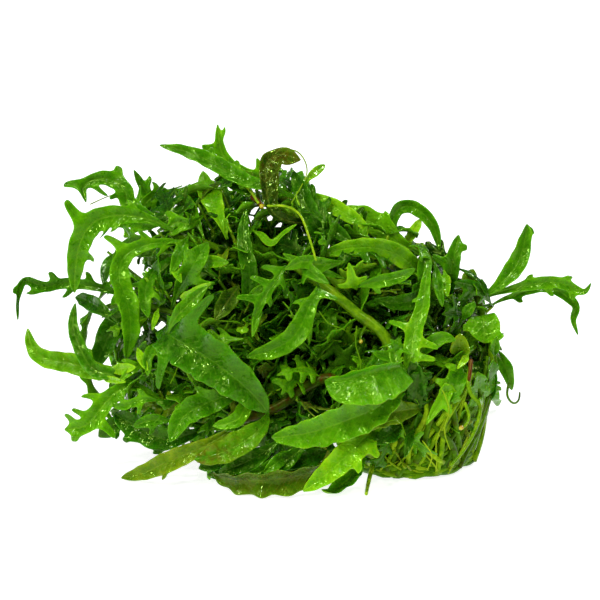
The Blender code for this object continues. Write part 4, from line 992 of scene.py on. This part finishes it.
# Each: its width, its rib as (across, up), how deep its foot and its tip lie below the mound's front, its
# fingers, its roll at foot and tip, its finish and its shade, from painted shade to painted light as above.
SMALL_LEAVES = [
    (2.2, [(-32, 43.6), (-30.4, 47.2), (-30, 49.6), (-31.8, 52.8), (-33.2, 55.6)], 8, 2,
     [(0.45, RIGHT, 4.6, 25), (0.6, LEFT, 1.4, 20), (0.74, RIGHT, 1.8, 30)], (0, 20), "leaf", 0.5),
    (2.4, [(-19, 41.6), (-21, 46.6), (-23, 50), (-24.2, 51.6)],
     8, 2, [(0.6, LEFT, 6.0, -10)], (0, 0), "leaf", 0.55),
    (4.6, [(-14.4, 41.6), (-15.6, 44.6), (-17.2, 48.6), (-18.8, 52.6), (-19.4, 55.4)], 8, 3, [], (20, -10),
     "leaf_young", 0.55),
    (3.2, [(-7.6, 48.6), (-11, 51.6), (-14.4, 53.6), (-17.2, 53.6)], 8, 3, [], (0, 20), "leaf_old", 0.7),
    (1.6, [(-9.8, 43.6), (-7.6, 42.4), (-5.6, 40.6), (-3.4, 42.6), (-0.6, 44.6)],
     8, 1, [], (0, 0), "leaf_young", 0.5),
    (1.9, [(1, 52), (1.8, 54), (5, 56.6)], 8, 3, [], (0, 0), "leaf_young", 0.7),
    (3.4, [(1, 47.2), (6, 44), (10.4, 41)], 8, 4, [], (10, 0), "leaf_old", 0.6),
    (2.1, [(21.8, 38.4), (21.4, 41), (22.8, 43.6), (24.2, 45.8)], 12, 8, [], (0, 0), "leaf_young", 0.9),
    (3.0, [(24, 31.6), (24.4, 34.6), (24.8, 37.2), (24.8, 39.6)], 10, 5, [], (0, 10), "leaf", 0.5),
    (2.7, [(10.4, 32), (13.2, 32.8), (16.4, 33.4), (19.6, 34.2), (22.8, 35.8)], 6, 1,
     [(0.35, RIGHT, 1.4, 20)], (0, 0), "leaf", 0.6),
    (2.2, [(9, 33.8), (4, 35.4), (0, 37), (-3.4, 38.8)], 6, 1, [(0.5, LEFT, 1.6, 30)], (0, 0), "leaf", 0.6),
    (2.0, [(11.2, 31.6), (10.4, 33.2), (10, 35.2), (9.6, 37)],
     6, 0, [(0.4, RIGHT, 2.2, 20), (0.45, LEFT, 2.2, 20)], (0, 0), "leaf_young", 0.6),
    (3.0, [(23.2, 18), (25.6, 20.8), (28.4, 22.2), (30.8, 21.6)], 6, 0, [], (0, 0), "leaf", 0.6),
    (2.1, [(26.8, 37.2), (27.4, 32.6), (28.2, 28.2)], 8, 3, [], (10, 0), "leaf", 0.5),
    (1.9, [(28.6, 35.6), (29, 33), (29.2, 30.2)], 8, 3, [], (0, 0), "leaf_young", 0.6),
    (3.2, [(33, 29.6), (33.4, 32.6), (34.4, 35.8)], 8, 6, [], (-10, 0), "leaf_olive", 0.4),
    (4.2, [(31.6, 18), (31.6, 20.6), (31.6, 23)], 6, 1, [], (0, 0), "leaf_olive", 0.6),
    (2.3, [(32.4, 25.6), (33.2, 27.4), (34.8, 29)], 8, 4, [], (0, 0), "leaf", 0.5),
    (1.5, [(33.4, 19.2), (32.4, 17.6), (31, 16)], 6, 0, [], (0, 0), "leaf_young", 1.0),
    (2.3, [(38.6, 18.6), (38.6, 20.6), (39, 22.4)], 6, 1, [], (0, 0), "leaf", 0.6),
    (4.0, [(31.6, 17.2), (31, 13.6), (29.4, 9.4)], 6, 1, [(0.6, RIGHT, 1.4, 30)], (0, 0), "leaf", 0.5),
    (4.8, [(25.4, 8.4), (19, 7.6), (14, 6), (10, 3.2)], 6, 0, [], (0, -10), "leaf_olive", 0.5),
    (3.8, [(20.4, 5), (17, 2.8), (14.4, 1.6)], 6, 1, [], (0, 0), "leaf_old", 0.5),
    (1.9, [(22.2, 4.2), (21.4, 1.4), (20.6, -1.4)], 6, 1, [], (0, 0), "leaf_old", 0.6),
    (3.4, [(13, -1.5), (10.6, -4.6), (8, -7), (5.6, -8.4), (4.2, -7.6)],
     10, 0, [], (0, 40), "leaf_young", 0.3),
    (3.2, [(-9, 10.4), (-10.4, 9.6), (-12.4, 6), (-17.2, 4.8)], 6, 0, [], (0, 0), "leaf_young", 0.35),
    (5.2, [(-12, 12.6), (-13.6, 11), (-19, 9), (-23, 6.6), (-25.6, 1.6)],
     8, 0, [(0.5, RIGHT, 1.2, 30)], (0, 15), "leaf", 0.5),
    (2.8, [(-22, 37), (-17.6, 37.2), (-14, 37)], 6, 1, [], (0, 0), "leaf_young", 0.5),
    (4.0, [(-12, 32.6), (-14.4, 29.2), (-16.8, 25.6)], 8, 3, [], (0, 0), "leaf_olive", 0.15),
    (3.0, [(-26, 23.2), (-24.6, 26), (-21.8, 29), (-18.2, 32.4)], -2, -5, [], (0, 0), "leaf_young", 0.25),
    (1.6, [(-7.6, 29.6), (-8.4, 26.6), (-9.4, 22.2)], 6, 1, [], (0, 0), "leaf", 0.6),
    (1.7, [(-10.8, 29.6), (-8.8, 31.2), (-6.8, 32.4), (-4.4, 33.6)], 6, 0, [(0.5, RIGHT, 2.2, 30)], (0, 0),
     "leaf", 0.6),
    (3.6, [(-34.4, 7.2), (-37, 4.8), (-40, 2.4)], 10, 8, [(0.5, LEFT, 1.0, 30)], (0, 0), "leaf_old", 0.5),
    (1.5, [(-39.6, 14.2), (-37, 13.8), (-34.4, 13.4)], 4, 0, [], (0, 0), "leaf_young", 0.8),
    (2.5, [(-37.8, 15.6), (-35.2, 16), (-32.4, 16.4)], 4, 0, [], (0, 0), "leaf_young", 0.8),
    (1.9, [(-25.4, 37), (-24.4, 35), (-23.4, 33)], 5, 0, [], (0, 0), "leaf_young", 0.6),
    (1.3, [(-28, 28), (-28.6, 25.8), (-29.2, 23.6)], 5, 0, [], (0, 0), "leaf_young", 0.7),
    (1.9, [(-32.2, 20.2), (-31.2, 17.8), (-30, 15.6)], 5, 0, [], (0, 0), "leaf_young", 0.8),
    (2.8, [(-1.6, 0.2), (-4.6, -2.4), (-7.2, -4.4)], 5, 0, [], (0, 0), "leaf", 0.5),
    (3.4, [(7, 0), (1.6, -1.6), (-3.4, -3.4)], 8, 4, [], (0, 0), "leaf_old", 0.5),
    (3.4, [(-35.6, 24.4), (-39.2, 27.6), (-42.8, 29.6), (-44.8, 30.2)], 4, -2, [], (0, 0), "leaf_old", 0.5),
    (3.0, [(-26, 45.2), (-30, 44.4), (-34, 45.2), (-37.6, 44)], 8, 3,
     [(0.4, RIGHT, 2.6, 30), (0.5, LEFT, 3.0, 40), (0.7, RIGHT, 2.2, 20), (0.8, LEFT, 2.0, 30)],
     (0, 20), "leaf", 0.6),
    (2.6, [(-27, 40.6), (-31, 41.6), (-35, 40.2), (-37.4, 37.2)], 8, 2,
     [(0.35, LEFT, 2.4, 30), (0.5, RIGHT, 2.8, 30), (0.66, LEFT, 2.2, 30)], (0, 0), "leaf", 0.5),
    (2.4, [(-25, 48.6), (-28, 50.4), (-30.4, 49.6), (-32.4, 46.6)], 8, 2,
     [(0.4, RIGHT, 1.8, 30), (0.6, LEFT, 2.4, 30)], (0, 0), "leaf_young", 0.3),
    (3.0, [(-28, 37.2), (-30, 33.6), (-30.8, 29.6), (-30, 26)], 6, 2,
     [(0.3, LEFT, 2.4, 30), (0.45, RIGHT, 2.6, 30), (0.6, LEFT, 2.0, 30)], (0, 0), "leaf", 0.55),
    (2.2, [(-36, 39.6), (-38.4, 37.2), (-39.2, 32.6)], 8, 4, [(0.5, LEFT, 1.6, 30)], (0, 0), "leaf_old", 0.8),
    (2.6, [(-22, 42.6), (-24, 38.6), (-25.6, 34.6)], 6, 1,
     [(0.35, RIGHT, 2.4, 30), (0.5, LEFT, 2.6, 30)], (0, 0), "leaf", 0.6),
    (2.4, [(-19, 46.6), (-22, 44.6), (-24.4, 45.2), (-27, 43.2)], 6, 1,
     [(0.35, RIGHT, 2.0, 30), (0.5, LEFT, 2.2, 30), (0.7, RIGHT, 1.8, 30)], (0, 0), "leaf_young", 0.3),
    (1.8, [(-27, 9.6), (-31, 10), (-35, 8.6), (-38, 9.2)], 5, 0,
     [(0.35, RIGHT, 1.8, 30), (0.45, LEFT, 2.0, 30), (0.65, RIGHT, 1.6, 30)], (0, 0), "leaf", 0.6),
    (2.6, [(-25, 5.6), (-29, 6), (-33, 4.6)], 6, 2, [(0.5, LEFT, 1.8, 30)], (0, 0), "leaf", 0.4),
    (1.8, [(-30, 17.6), (-33, 16), (-35.6, 13.6)], 5, 0,
     [(0.3, LEFT, 1.8, 30), (0.5, RIGHT, 2.0, 30)], (0, 0), "leaf_young", 0.4),
    (2.2, [(-28, 21.6), (-30, 18.6), (-30, 14.6)], 5, 0, [(0.4, LEFT, 1.8, 30)], (0, 0), "leaf", 0.6),
    (3.0, [(9, 37.2), (4.4, 36.6), (0.4, 37.2), (-3, 35.6)], 5, 0,
     [(0.5, LEFT, 2.0, 30)], (0, 0), "leaf_young", 0.3),
    (2.6, [(-1, 38), (2.4, 35), (5.8, 32.8)], 4, 0.5, [(0.5, RIGHT, 1.8, 30), (0.4, LEFT, 2.0, 30)], (0, 0),
     "leaf", 0.5),
    (3.0, [(24, 20.6), (20.6, 19.6), (17.6, 18.4), (14.4, 19.2)], 5, 1,
     [(0.4, LEFT, 2.4, 30), (0.55, RIGHT, 2.0, 30)], (0, 0), "leaf", 0.55),
    (2.6, [(20, 22.6), (18.6, 19.2), (19.4, 15.2)], 5, 0.5,
     [(0.35, RIGHT, 2.2, 30), (0.5, LEFT, 2.4, 30)], (0, 0), "leaf_young", 0.3),
    (2.4, [(17, 20.6), (15, 17.2), (12.4, 15.2)], 7, 2, [(0.4, RIGHT, 2.2, 30), (0.5, LEFT, 2.2, 30)], (0, 0),
     "leaf", 0.45),
    (4.4, [(-11, 4), (-14, 0.5), (-17, -2.4), (-20, -3.6)], 6, 2, [], (0, 15), "leaf_old", 0.5),
    (4.0, [(-4, 2), (-8, -1), (-12, -3), (-16, -4.2)], 5, 1.5, [], (15, 0), "leaf_old", 0.6),
    (3.6, [(2, 2), (-2, -1.4), (-6, -3.6), (-10, -4.6)], 5, 1.5, [], (0, 0), "leaf", 0.3),
    (3.4, [(-5, -0.6), (-10, -3.4), (-14, -4.7), (-18.4, -4.8)], 9, 6, [], (0, 0), "leaf_old", 0.3),
    (3.4, [(5, 0.6), (1, -2.8), (-4, -4.8), (-9, -5.4)], 9, 6, [], (0, 0), "leaf_old", 0.35),
    (3.2, [(9, -1), (6.4, -3.6), (2.6, -5.2), (-2, -5.8)], 9, 6, [], (0, 0), "leaf", 0.15),
    (3.1, [(19.2, 15.2), (15, 13.2), (10, 12)], 5, 2, [], (0, 0), "leaf", 0.6),
]


def mound_reach(across, up, reach, thinnest):
    """How far the mound reaches to its front or back here: it rounds off towards the edge of its outline."""
    round_off = 1 - (across / MOUND_HALF_WIDTH) ** 2 - (up / MOUND_HALF_HEIGHT) ** 2
    return reach * math.sqrt(max(round_off, thinnest))


def on_mound(across, up, depth):
    """A point at this depth below the mound's front, but above the table."""
    point = seen(across, up, mound_reach(across, up, MOUND_REACH, THINNEST_AT_EDGE) - depth)
    if point.z < LEAST_HEIGHT:
        point += OUT * (LEAST_HEIGHT - point.z) / OUT.z
    return point


def grow_small_leaves():
    """The small leaves of each finish are one mesh."""
    grown = {slot: Growth(BLADE_VALUES) for slot in laminae}
    for seed, leaf in enumerate(SMALL_LEAVES, 200):
        width, rib, foot_depth, tip_depth, fingers, roll, slot, tint = leaf
        last = len(rib) - 1
        line = []
        for i, (across, up) in enumerate(rib):
            depth = foot_depth + (tip_depth - foot_depth) * math.sqrt(i / last)
            line.append(on_mound(across, up, depth))
        blade = Blade(line, width, 0.5, fingers, OUT, roll, tint, seed, step=SMALL_LEAF_STEP)
        blade.thicken(grown[slot])
    for slot, growth in grown.items():
        growth.finish("small_" + slot + "_blades", laminae[slot], slot, smooth_levels=1)


grow_small_leaves()

# The inner shoots.
# Between the eleven large stems grow many thinner shoots, each with its leaves in opposite pairs, a quarter
# turn from the pair below. They fill the clump from the puck to its outline. The large stems have such
# pairs as well.
SHOOTS = 125
SHOOT_RADIUS = (0.38, 0.6)
SHARE_IN_FRONT = 0.62
MOUND_BACK_REACH = 30.0
PAIR_SPACING = 6.4
SHOOT_LEAF_LENGTH = (11.0, 21.0)
SHOOT_LEAF_WIDTH = (1.7, 3.4)
# How often a leaf has each finish, in the order of the finishes.
SHOOT_LEAF_MIX = (6, 2.2, 2.8, 0.5)
WHOLE_LEAF_SHARE = 0.22
# The share of a shoot and of a large stem that is bare from the foot up.
BARE_SHOOT_SHARE = 0.28
BARE_STEM_SHARE = 0.35
# The shoots' leaves left of the first, between the two and right of the second are meshes of their own.
THIRDS_AT = (-15, 8)
FINGER_SPACING = 2.7
LEAN_COLUMNS = (-1.0, 0.0, 1.0)
LEAN_STEP = 1.05
MOUND_MIDDLE = (-1.0, 2.0, 9.0)
THINNEST_IN_CLUMP = 0.12
# Where the front is open and something deeper shows, such as the thick front stem: (across, up), how wide,
# and how far out the leaves may reach there.
CLEARINGS = [(6.4, 31.4, 2.0, 20), (9.2, 28.4, 2.2, 20), (12.2, 25.6, 2.4, 20), (14.8, 23.4, 2.0, 20),
             (20, 29, 3.0, 16), (-16, 27, 3, 22), (-8, 34, 2.6, 20), (3, 13, 2.4, 27), (-1, 11, 2.4, 28),
             (36.5, 24, 4.2, 15), (31.6, 20.6, 3, 20)]
# The clump's outline from the front, as (across, up), without the leaves that stand out of it.
OUTLINE = [(-38.4, 50.6), (-30, 50.6), (-20, 55.6), (-8, 57), (1, 51), (9, 48.6), (19, 44.6),
           (28, 40.6), (34, 35.2), (39, 29.6), (40.4, 23.6), (39.6, 13.6), (37, 3.6), (35, -3.4), (20, -7),
           (13, -8.4), (0, -8.4), (-16, -7.4), (-20, -3.4), (-34, 2.6), (-40, 9.6), (-39.4, 17.6)]


def in_outline(across, up):
    """Whether a point is inside the clump's outline as seen from the front."""
    inside = False
    for (x0, y0), (x1, y1) in zip(OUTLINE, OUTLINE[1:] + OUTLINE[:1]):
        if (y0 > up) != (y1 > up) and across < x0 + (up - y0) / (y1 - y0) * (x1 - x0):
            inside = not inside
    return inside


def skin_share(point):
    """How near a point is to the clump's skin: 0 in its middle plane, and 1 at its front or back."""
    across, up, out = point.dot(ACROSS), point.dot(UP), point.dot(OUT)
    reach = MOUND_REACH if out > 0 else MOUND_BACK_REACH
    return abs(out) / mound_reach(across, up, reach, THINNEST_IN_CLUMP)


def in_the_clear(point):
    """Whether a point is in front of a place where something deeper shows."""
    across, up, out = point.dot(ACROSS), point.dot(UP), point.dot(OUT)
    return any(out > deep and math.hypot(across - x, up - y) < reach for x, y, reach, deep in CLEARINGS)


def in_clump(point):
    """Whether a point is inside the clump, and hides nothing that should show."""
    above_table = point.z > LEAST_HEIGHT
    inside = skin_share(point) < 0.93 and in_outline(point.dot(ACROSS), point.dot(UP))
    return above_table and inside and not in_the_clear(point)


def shoot_tip(rng):
    """A place for a shoot to end, anywhere in the outline and nearer the skin than the middle."""
    while True:
        across, up = rng.uniform(-40, 40), rng.uniform(-6, 57)
        if not in_outline(across, up):
            continue
        reach = MOUND_REACH if rng.random() < SHARE_IN_FRONT else -MOUND_BACK_REACH
        out = mound_reach(across, up, reach, THINNEST_IN_CLUMP) * rng.uniform(0.3, 0.9)
        point = seen(across, up, out)
        if point.z > 3:
            return point


def shoot_line(rng):
    """A shoot's line from the puck's top: it rises, leans and then bends outwards."""
    tip = shoot_tip(rng)
    middle = place(*MOUND_MIDDLE)
    side = math.atan2(-tip.y - PUCK_MIDDLE[1], tip.x - PUCK_MIDDLE[0]) + rng.uniform(-0.6, 0.6)
    foot = on_puck(side, PUCK_HEIGHT - 0.8, rng.uniform(0.2, 0.85))
    outwards = (tip - middle).normalized()
    rise = Vector((0, 0, rng.uniform(4, 9)))
    last_way = (outwards * 0.8 + (tip - foot).normalized()).normalized()
    before = tip - last_way * (tip - foot).length * 0.3
    before.z = max(before.z, 4.0)
    return [foot, foot + rise, before, tip]


def curled_rib(rng, joint, way, outward, length):
    """The rib of a shoot's leaf: it leaves the shoot at a slant, then curls, mostly over and down."""
    slant = rng.uniform(0.45, 0.85)
    heading = (way * (1 - slant) + outward * slant).normalized()
    axis = heading.cross(Vector((0, 0, -1))) + Vector([rng.uniform(-0.6, 0.6) for _ in range(3)])
    bend = Matrix.Rotation(math.radians(rng.uniform(4, 24)), 3, axis.normalized())
    line = [joint]
    for _ in range(4):
        line.append(line[-1] + heading * length / 4)
        heading = bend @ heading
    return line


def free_rib(rng, joint, way, outward, length):
    """A rib that stays inside the clump, shorter where it must be, or none."""
    for _ in range(4):
        rib = curled_rib(rng, joint, way, outward, length)
        if all(in_clump(point) for point in rib[2:]):
            return rib
        length *= 0.8
    return None


def shoot_fingers(rng, length):
    """Pairs of fingers along a leaf, longest at its middle, or none on the leaves that stay whole."""
    if rng.random() < WHOLE_LEAF_SHARE:
        return []
    fingers = []
    sweep = rng.uniform(15, 40)
    share = rng.uniform(0.26, 0.36)
    while share < 0.9:
        for hand in (LEFT, RIGHT):
            if rng.random() < 0.88:
                reach = length * rng.uniform(0.13, 0.24) * (0.45 + 0.75 * math.sin(math.pi * share))
                fingers.append((share, hand, reach, sweep + rng.uniform(-12, 12)))
        share += FINGER_SPACING / length
    return fingers


def grow_shoot_leaf(rng, joint, way, outward, length, grown):
    """A leaf at a joint of a shoot, in painted shade deep in the clump and lighter near its skin."""
    rib = free_rib(rng, joint, way, outward, length)
    if rib is None:
        return
    length = path_length(rib)
    out_of_middle = (rib[-1] - place(*MOUND_MIDDLE)).normalized()
    facing = (way * 0.7 + out_of_middle + Vector([rng.gauss(0, 0.35) for _ in range(3)])).normalized()
    # Painted shade: the deeper the leaf lies inside the clump, the darker it is painted.
    tint = min(max(0.16 + 0.48 * skin_share(rib[2]) ** 2 + rng.uniform(-0.3, 0.3), 0), 1)
    slot = rng.choices(list(laminae), SHOOT_LEAF_MIX)[0]
    fingers = shoot_fingers(rng, length)
    width = rng.uniform(*SHOOT_LEAF_WIDTH) * (0.8 if fingers else 1.3) * min(length / 14, 1.1)
    roll = rng.uniform(-45, 45)
    rolls = (roll, roll + rng.uniform(-60, 60))
    blade = Blade(rib, width, 0.5, fingers, facing, rolls, tint, rng.random(), step=LEAN_STEP,
                  columns=LEAN_COLUMNS)
    third = ("left", "middle", "right")[sum(joint.x >= x for x in THIRDS_AT)]
    blade.thicken(grown[slot, third])


def grow_pairs(rng, line, first_share, grown):
    """Opposite pairs of leaves along a line of points, from this share of it to its tip."""
    along = tangents(line)
    last = len(line) - 1
    turn = rng.uniform(0, math.pi)
    pairs = max(3, round((1 - first_share) * path_length(line) / PAIR_SPACING))
    for pair in range(pairs):
        i = min(round((first_share + (1 - first_share) * (pair + 1) / pairs) * last), last)
        first = along[i].orthogonal().normalized()
        turn += math.pi / 2 + rng.uniform(-0.3, 0.3)
        for half_turn in (0, math.pi):
            outward = Matrix.Rotation(turn + half_turn, 3, along[i]) @ first
            size = rng.uniform(*SHOOT_LEAF_LENGTH) * (1 - 0.35 * pair / pairs)
            grow_shoot_leaf(rng, line[i], along[i], outward, size, grown)


def grow_shoot(rng, stems, grown):
    """One thin shoot, tapered, with its pairs of leaves."""
    points = shoot_line(rng)
    count = max(6, round(path_length(points) / 2.2))
    line = even_points(points, count)
    thick = rng.uniform(*SHOOT_RADIUS)
    radii = [thick * (1 - 0.4 * i / count) for i in range(count)]
    grow_tube(stems, line, radii, TUBE_SIDES, rng.uniform(0.45, 0.9))
    grow_pairs(rng, line, BARE_SHOOT_SHARE, grown)


def grow_shoots():
    """All the shoots and pairs. Their leaves are a mesh for each finish and third of the clump."""
    rng = random.Random(5)
    stems = Growth(STRAND_VALUES)
    grown = {}
    for slot in laminae:
        for third in ("left", "middle", "right"):
            grown[slot, third] = Growth(BLADE_VALUES)
    for _ in range(SHOOTS):
        grow_shoot(rng, stems, grown)
    for _, _, points in STEMS.values():
        grow_pairs(rng, even_points([place(*p) for p in points], 40), BARE_STEM_SHARE, grown)
    stems.finish("shoot_stems", stem_skin, "stem")
    for (slot, third), growth in grown.items():
        growth.finish("shoot_" + slot + "_blades_" + third, laminae[slot], slot)


grow_shoots()

# The cup's wall.
# Where the cup's wall pressed the clump, at the lower right, green stems stand close side by side and lean
# out as the wall did, with a few leaves pressed flat between them and thin roots over them. All have grown
# from the puck.
WALL_STEMS = 84
WALL_ROOTS = 14
WALL_LEAVES = 16
WALL_STEM_RADIUS = (0.45, 0.85)
WALL_ROOT_RADIUS = (0.14, 0.26)
WALL_STRAND_SIDES = 8
WALL_FLARE = 0.4
RISE_AT_RIGHT = 10.0
TIP_TURNS_IN = 0.12
WALL_LEAF_MIX = (5, 2, 4, 0.7)
PRESSED_STEM_GLOSS = 0.1


def on_wall(angle, height, depth=0.0):
    """A point of the wall, which flares out with its height, most of all at the right."""
    flare = WALL_FLARE * max(math.cos(angle), 0.35) * (max(height, 0) / 24) ** 1.1
    return on_puck(angle, height, 0.95 + flare - depth)


def wall_line(rng, low, rise, depth):
    """The line of a strand up the wall.

    It leans to the right as seen from the front, or now and then back. The wall reaches highest at the right,
    and the strand's tip turns inwards.
    """
    angle = rng.uniform(-1.7, 2.3)
    lean = rng.uniform(0.2, 1.0) * rng.choice((-1, -1, -1, 1))
    high = low + rise + RISE_AT_RIGHT * max(math.cos(angle + lean), 0)
    sway = rng.uniform(0.02, 0.06)
    phase = rng.uniform(0, 6)
    points = []
    for i in range(7):
        t = i / 6
        height = low + (high - low) * t
        turned = angle + lean * t + sway * math.sin(6 * t + phase)
        points.append(on_wall(turned, height, depth + TIP_TURNS_IN * t**6))
    return points


def grow_wall_strand(growth, points, radius, tint):
    """One pressed stem or root, a third thinner at its tip."""
    count = max(8, round(path_length(points) / 1.2))
    radii = [radius * (1 - 0.35 * i / count) for i in range(count)]
    grow_tube(growth, even_points(points, count), radii, WALL_STRAND_SIDES, tint)


def grow_wall_leaf(rng, grown):
    """A leaf pressed flat against the wall, its tip up or bent sideways."""
    angle, low = rng.uniform(-1.6, 1.7), rng.uniform(6, 14)
    length, lean = rng.uniform(7, 13), rng.uniform(-0.5, 0.35)
    shares = (0, 0.35, 0.7, 1)
    points = [on_wall(angle + lean * t, low + length * t, 0.08 - 0.06 * t) for t in shares]
    facing = points[2] - place(PUCK_MIDDLE[0], PUCK_MIDDLE[1], points[2].z)
    fingers = shoot_fingers(rng, length) if rng.random() < 0.4 else []
    slot = rng.choices(list(laminae), WALL_LEAF_MIX)[0]
    width = rng.uniform(2.6, 5.0)
    roll = (0, rng.uniform(-25, 25))
    tint = rng.uniform(0.25, 0.6)
    blade = Blade(points, width, 0.55, fingers, facing.normalized(), roll, tint, rng.random(), step=LEAN_STEP)
    blade.thicken(grown[slot])


def grow_wall():
    """All that the wall pressed. Its leaves are a mesh for each finish that one of them has."""
    rng = random.Random(23)
    stems = Growth(STRAND_VALUES)
    roots = Growth(STRAND_VALUES)
    grown = {slot: Growth(BLADE_VALUES) for slot in laminae}
    for _ in range(WALL_STEMS):
        points = wall_line(rng, rng.uniform(0.9, 4), rng.uniform(4, 11), rng.uniform(-0.03, 0.07))
        grow_wall_strand(stems, points, rng.uniform(*WALL_STEM_RADIUS), rng.uniform(0.36, 0.95))
    for _ in range(WALL_ROOTS):
        points = wall_line(rng, rng.uniform(0.6, 4), rng.uniform(2, 8), -0.04)
        grow_wall_strand(roots, points, rng.uniform(*WALL_ROOT_RADIUS), rng.uniform(0.7, 1))
    for _ in range(WALL_LEAVES):
        grow_wall_leaf(rng, grown)
    stems.finish("wall_stems", stem_skin_finish("wet_pressed_stem_skin", PRESSED_STEM_GLOSS), "stem")
    roots.finish("wall_roots", root_fibre, "root")
    for slot, growth in grown.items():
        if growth.faces:
            growth.finish("wall_" + slot + "_blades", laminae[slot], slot)


grow_wall()

# The loose strands.
# Thin young stems, side shoots and thread roots that lie over the front of the clump. Each comes from
# between the leaves, and three of the stems end in an orange or yellow bud.
LOOSE_STRAND_SIDES = 8
BUD_SIDES = 10
# Along a bud from its middle, in radii, and how thick it is there.
BUD_SHAPE = ((-1.0, 0.55), (-0.5, 0.9), (0.1, 1.0), (0.8, 0.75), (1.3, 0.3))
# Each: its radius, its line as (across, up), its depth below the mound's front at its ends, whether it is a
# root, its shade, and the radius of the bud at its end.
LOOSE_STRANDS = [
    (0.34, [(-12, 53.4), (-9.6, 51), (-7.6, 48.4), (-3, 48.2), (0, 46.4), (1.8, 42), (3.2, 37.2)],
     4, -1, False, 0.9, 0),
    (0.7, [(-9.6, 50.2), (-8.2, 49), (-7.6, 48.2)], 5, 2, False, 0.05, 0.55),
    (0.4, [(14, 26.4), (13, 24.4), (12, 22.6), (12, 21.4)], 9, 4, False, 0.5, 0.45),
    (0.5, [(33.6, 16.6), (33.2, 13), (34, 10.6), (35.6, 8.6), (34.8, 4.6), (32.6, 0.4), (29.6, -3.2)],
     0, 0, False, 0.7, 0),
    (0.52, [(33.8, 18), (33.6, 16), (33.3, 13.4)], 0, -0.4, False, 0.0, 0),
    (0.4, [(32.4, 9.6), (33.4, 6.6), (32.6, 4.8), (31.8, 4.4)], 0, -1, False, 0.8, 0.5),
    (0.55, [(14.6, -2.6), (14, -4.4), (13.4, -6.8), (13, -8.6)], 12, 4, False, 0.9, 0),
    (0.16, [(11.2, 24.6), (11, 20.6), (12, 17.2), (11.4, 14.4), (10.8, 13)], 3, -1, True, 0.5, 0),
    (0.16, [(17, 5.6), (19.4, 6.2), (20.2, 4.6), (20.8, 2.8)], 0, -1, True, 0.6, 0),
    (0.14, [(3.6, 27.6), (5.6, 25), (7.6, 24.2), (9, 23.6)], 3, 0, True, 0.5, 0),
    (0.17, [(-4, 59.6), (-1, 59.4), (0.6, 58), (1.4, 55.6), (0.8, 53.2), (-1.8, 48.6)], -2, 0, True, 0.8, 0),
    (0.14, [(-42, 48.6), (-39, 50), (-36.8, 50.8)], -1, 2, True, 0.9, 0),
    (0.16, [(-25, 21), (-24, 17), (-25.6, 13)], 0, -1, True, 0.6, 0),
    (0.15, [(28, 12), (29.4, 8), (28.4, 4), (29.6, 0)], 0, -1, True, 0.9, 0),
    (0.15, [(24, 2), (26, -1), (25, -4)], 1, 0, True, 0.95, 0),
    (0.3, [(41.6, 13.2), (41.2, 10.6), (42.4, 9), (43.6, 9.6), (43.8, 11.4)], 11, 11, False, 0.5, 0),
]


def bud_finish():
    """A bud scale: waxy, orange and yellow-green in patches of about a millimetre."""
    finish, tree, shader, where = start_finish("waxy_bud_scale")
    blush = add_node(tree, "TexNoise", {"Scale": 900.0, "Detail": 2.0}, {"Vector": where})
    ramp = add_node(tree, "ValToRGB", {"stops": {0.35: "#a8640a", 0.65: "#c2c020"}}, {"Fac": blush})
    set_node(tree, shader, {"Roughness": 0.35, "Coat Weight": 0.2}, {"Base Color": ramp})
    return finish


def grow_bud(buds, tip, way, radius):
    """A bud at the tip of a strand, drawn out in the strand's own direction."""
    line = [tip + way * radius * at for at, _ in BUD_SHAPE]
    grow_tube(buds, line, [radius * thick for _, thick in BUD_SHAPE], BUD_SIDES, 0.5)


def grow_loose_strands():
    """The strands and buds: one mesh each for the stems, the roots and the buds."""
    stems, roots, buds = [Growth(STRAND_VALUES) for _ in range(3)]
    for radius, rib, start_depth, end_depth, is_root, tint, bud in LOOSE_STRANDS:
        last = len(rib) - 1
        line = []
        for i, (across, up) in enumerate(rib):
            line.append(on_mound(across, up, start_depth + (end_depth - start_depth) * i / last))
        count = max(6, round(path_length(line) / 0.8))
        points = even_points(line, count)
        radii = [radius * (1 - 0.3 * i / count) for i in range(count)]
        grow_tube(roots if is_root else stems, points, radii, LOOSE_STRAND_SIDES, tint)
        if bud:
            grow_bud(buds, points[-1], tangents(points)[-1], bud)
    stems.finish("loose_stems", stem_skin, "stem", smooth_levels=1)
    roots.finish("loose_roots", root_fibre, "root", smooth_levels=1)
    buds.finish("buds", bud_finish(), "leaf_olive", smooth_levels=1)


grow_loose_strands()
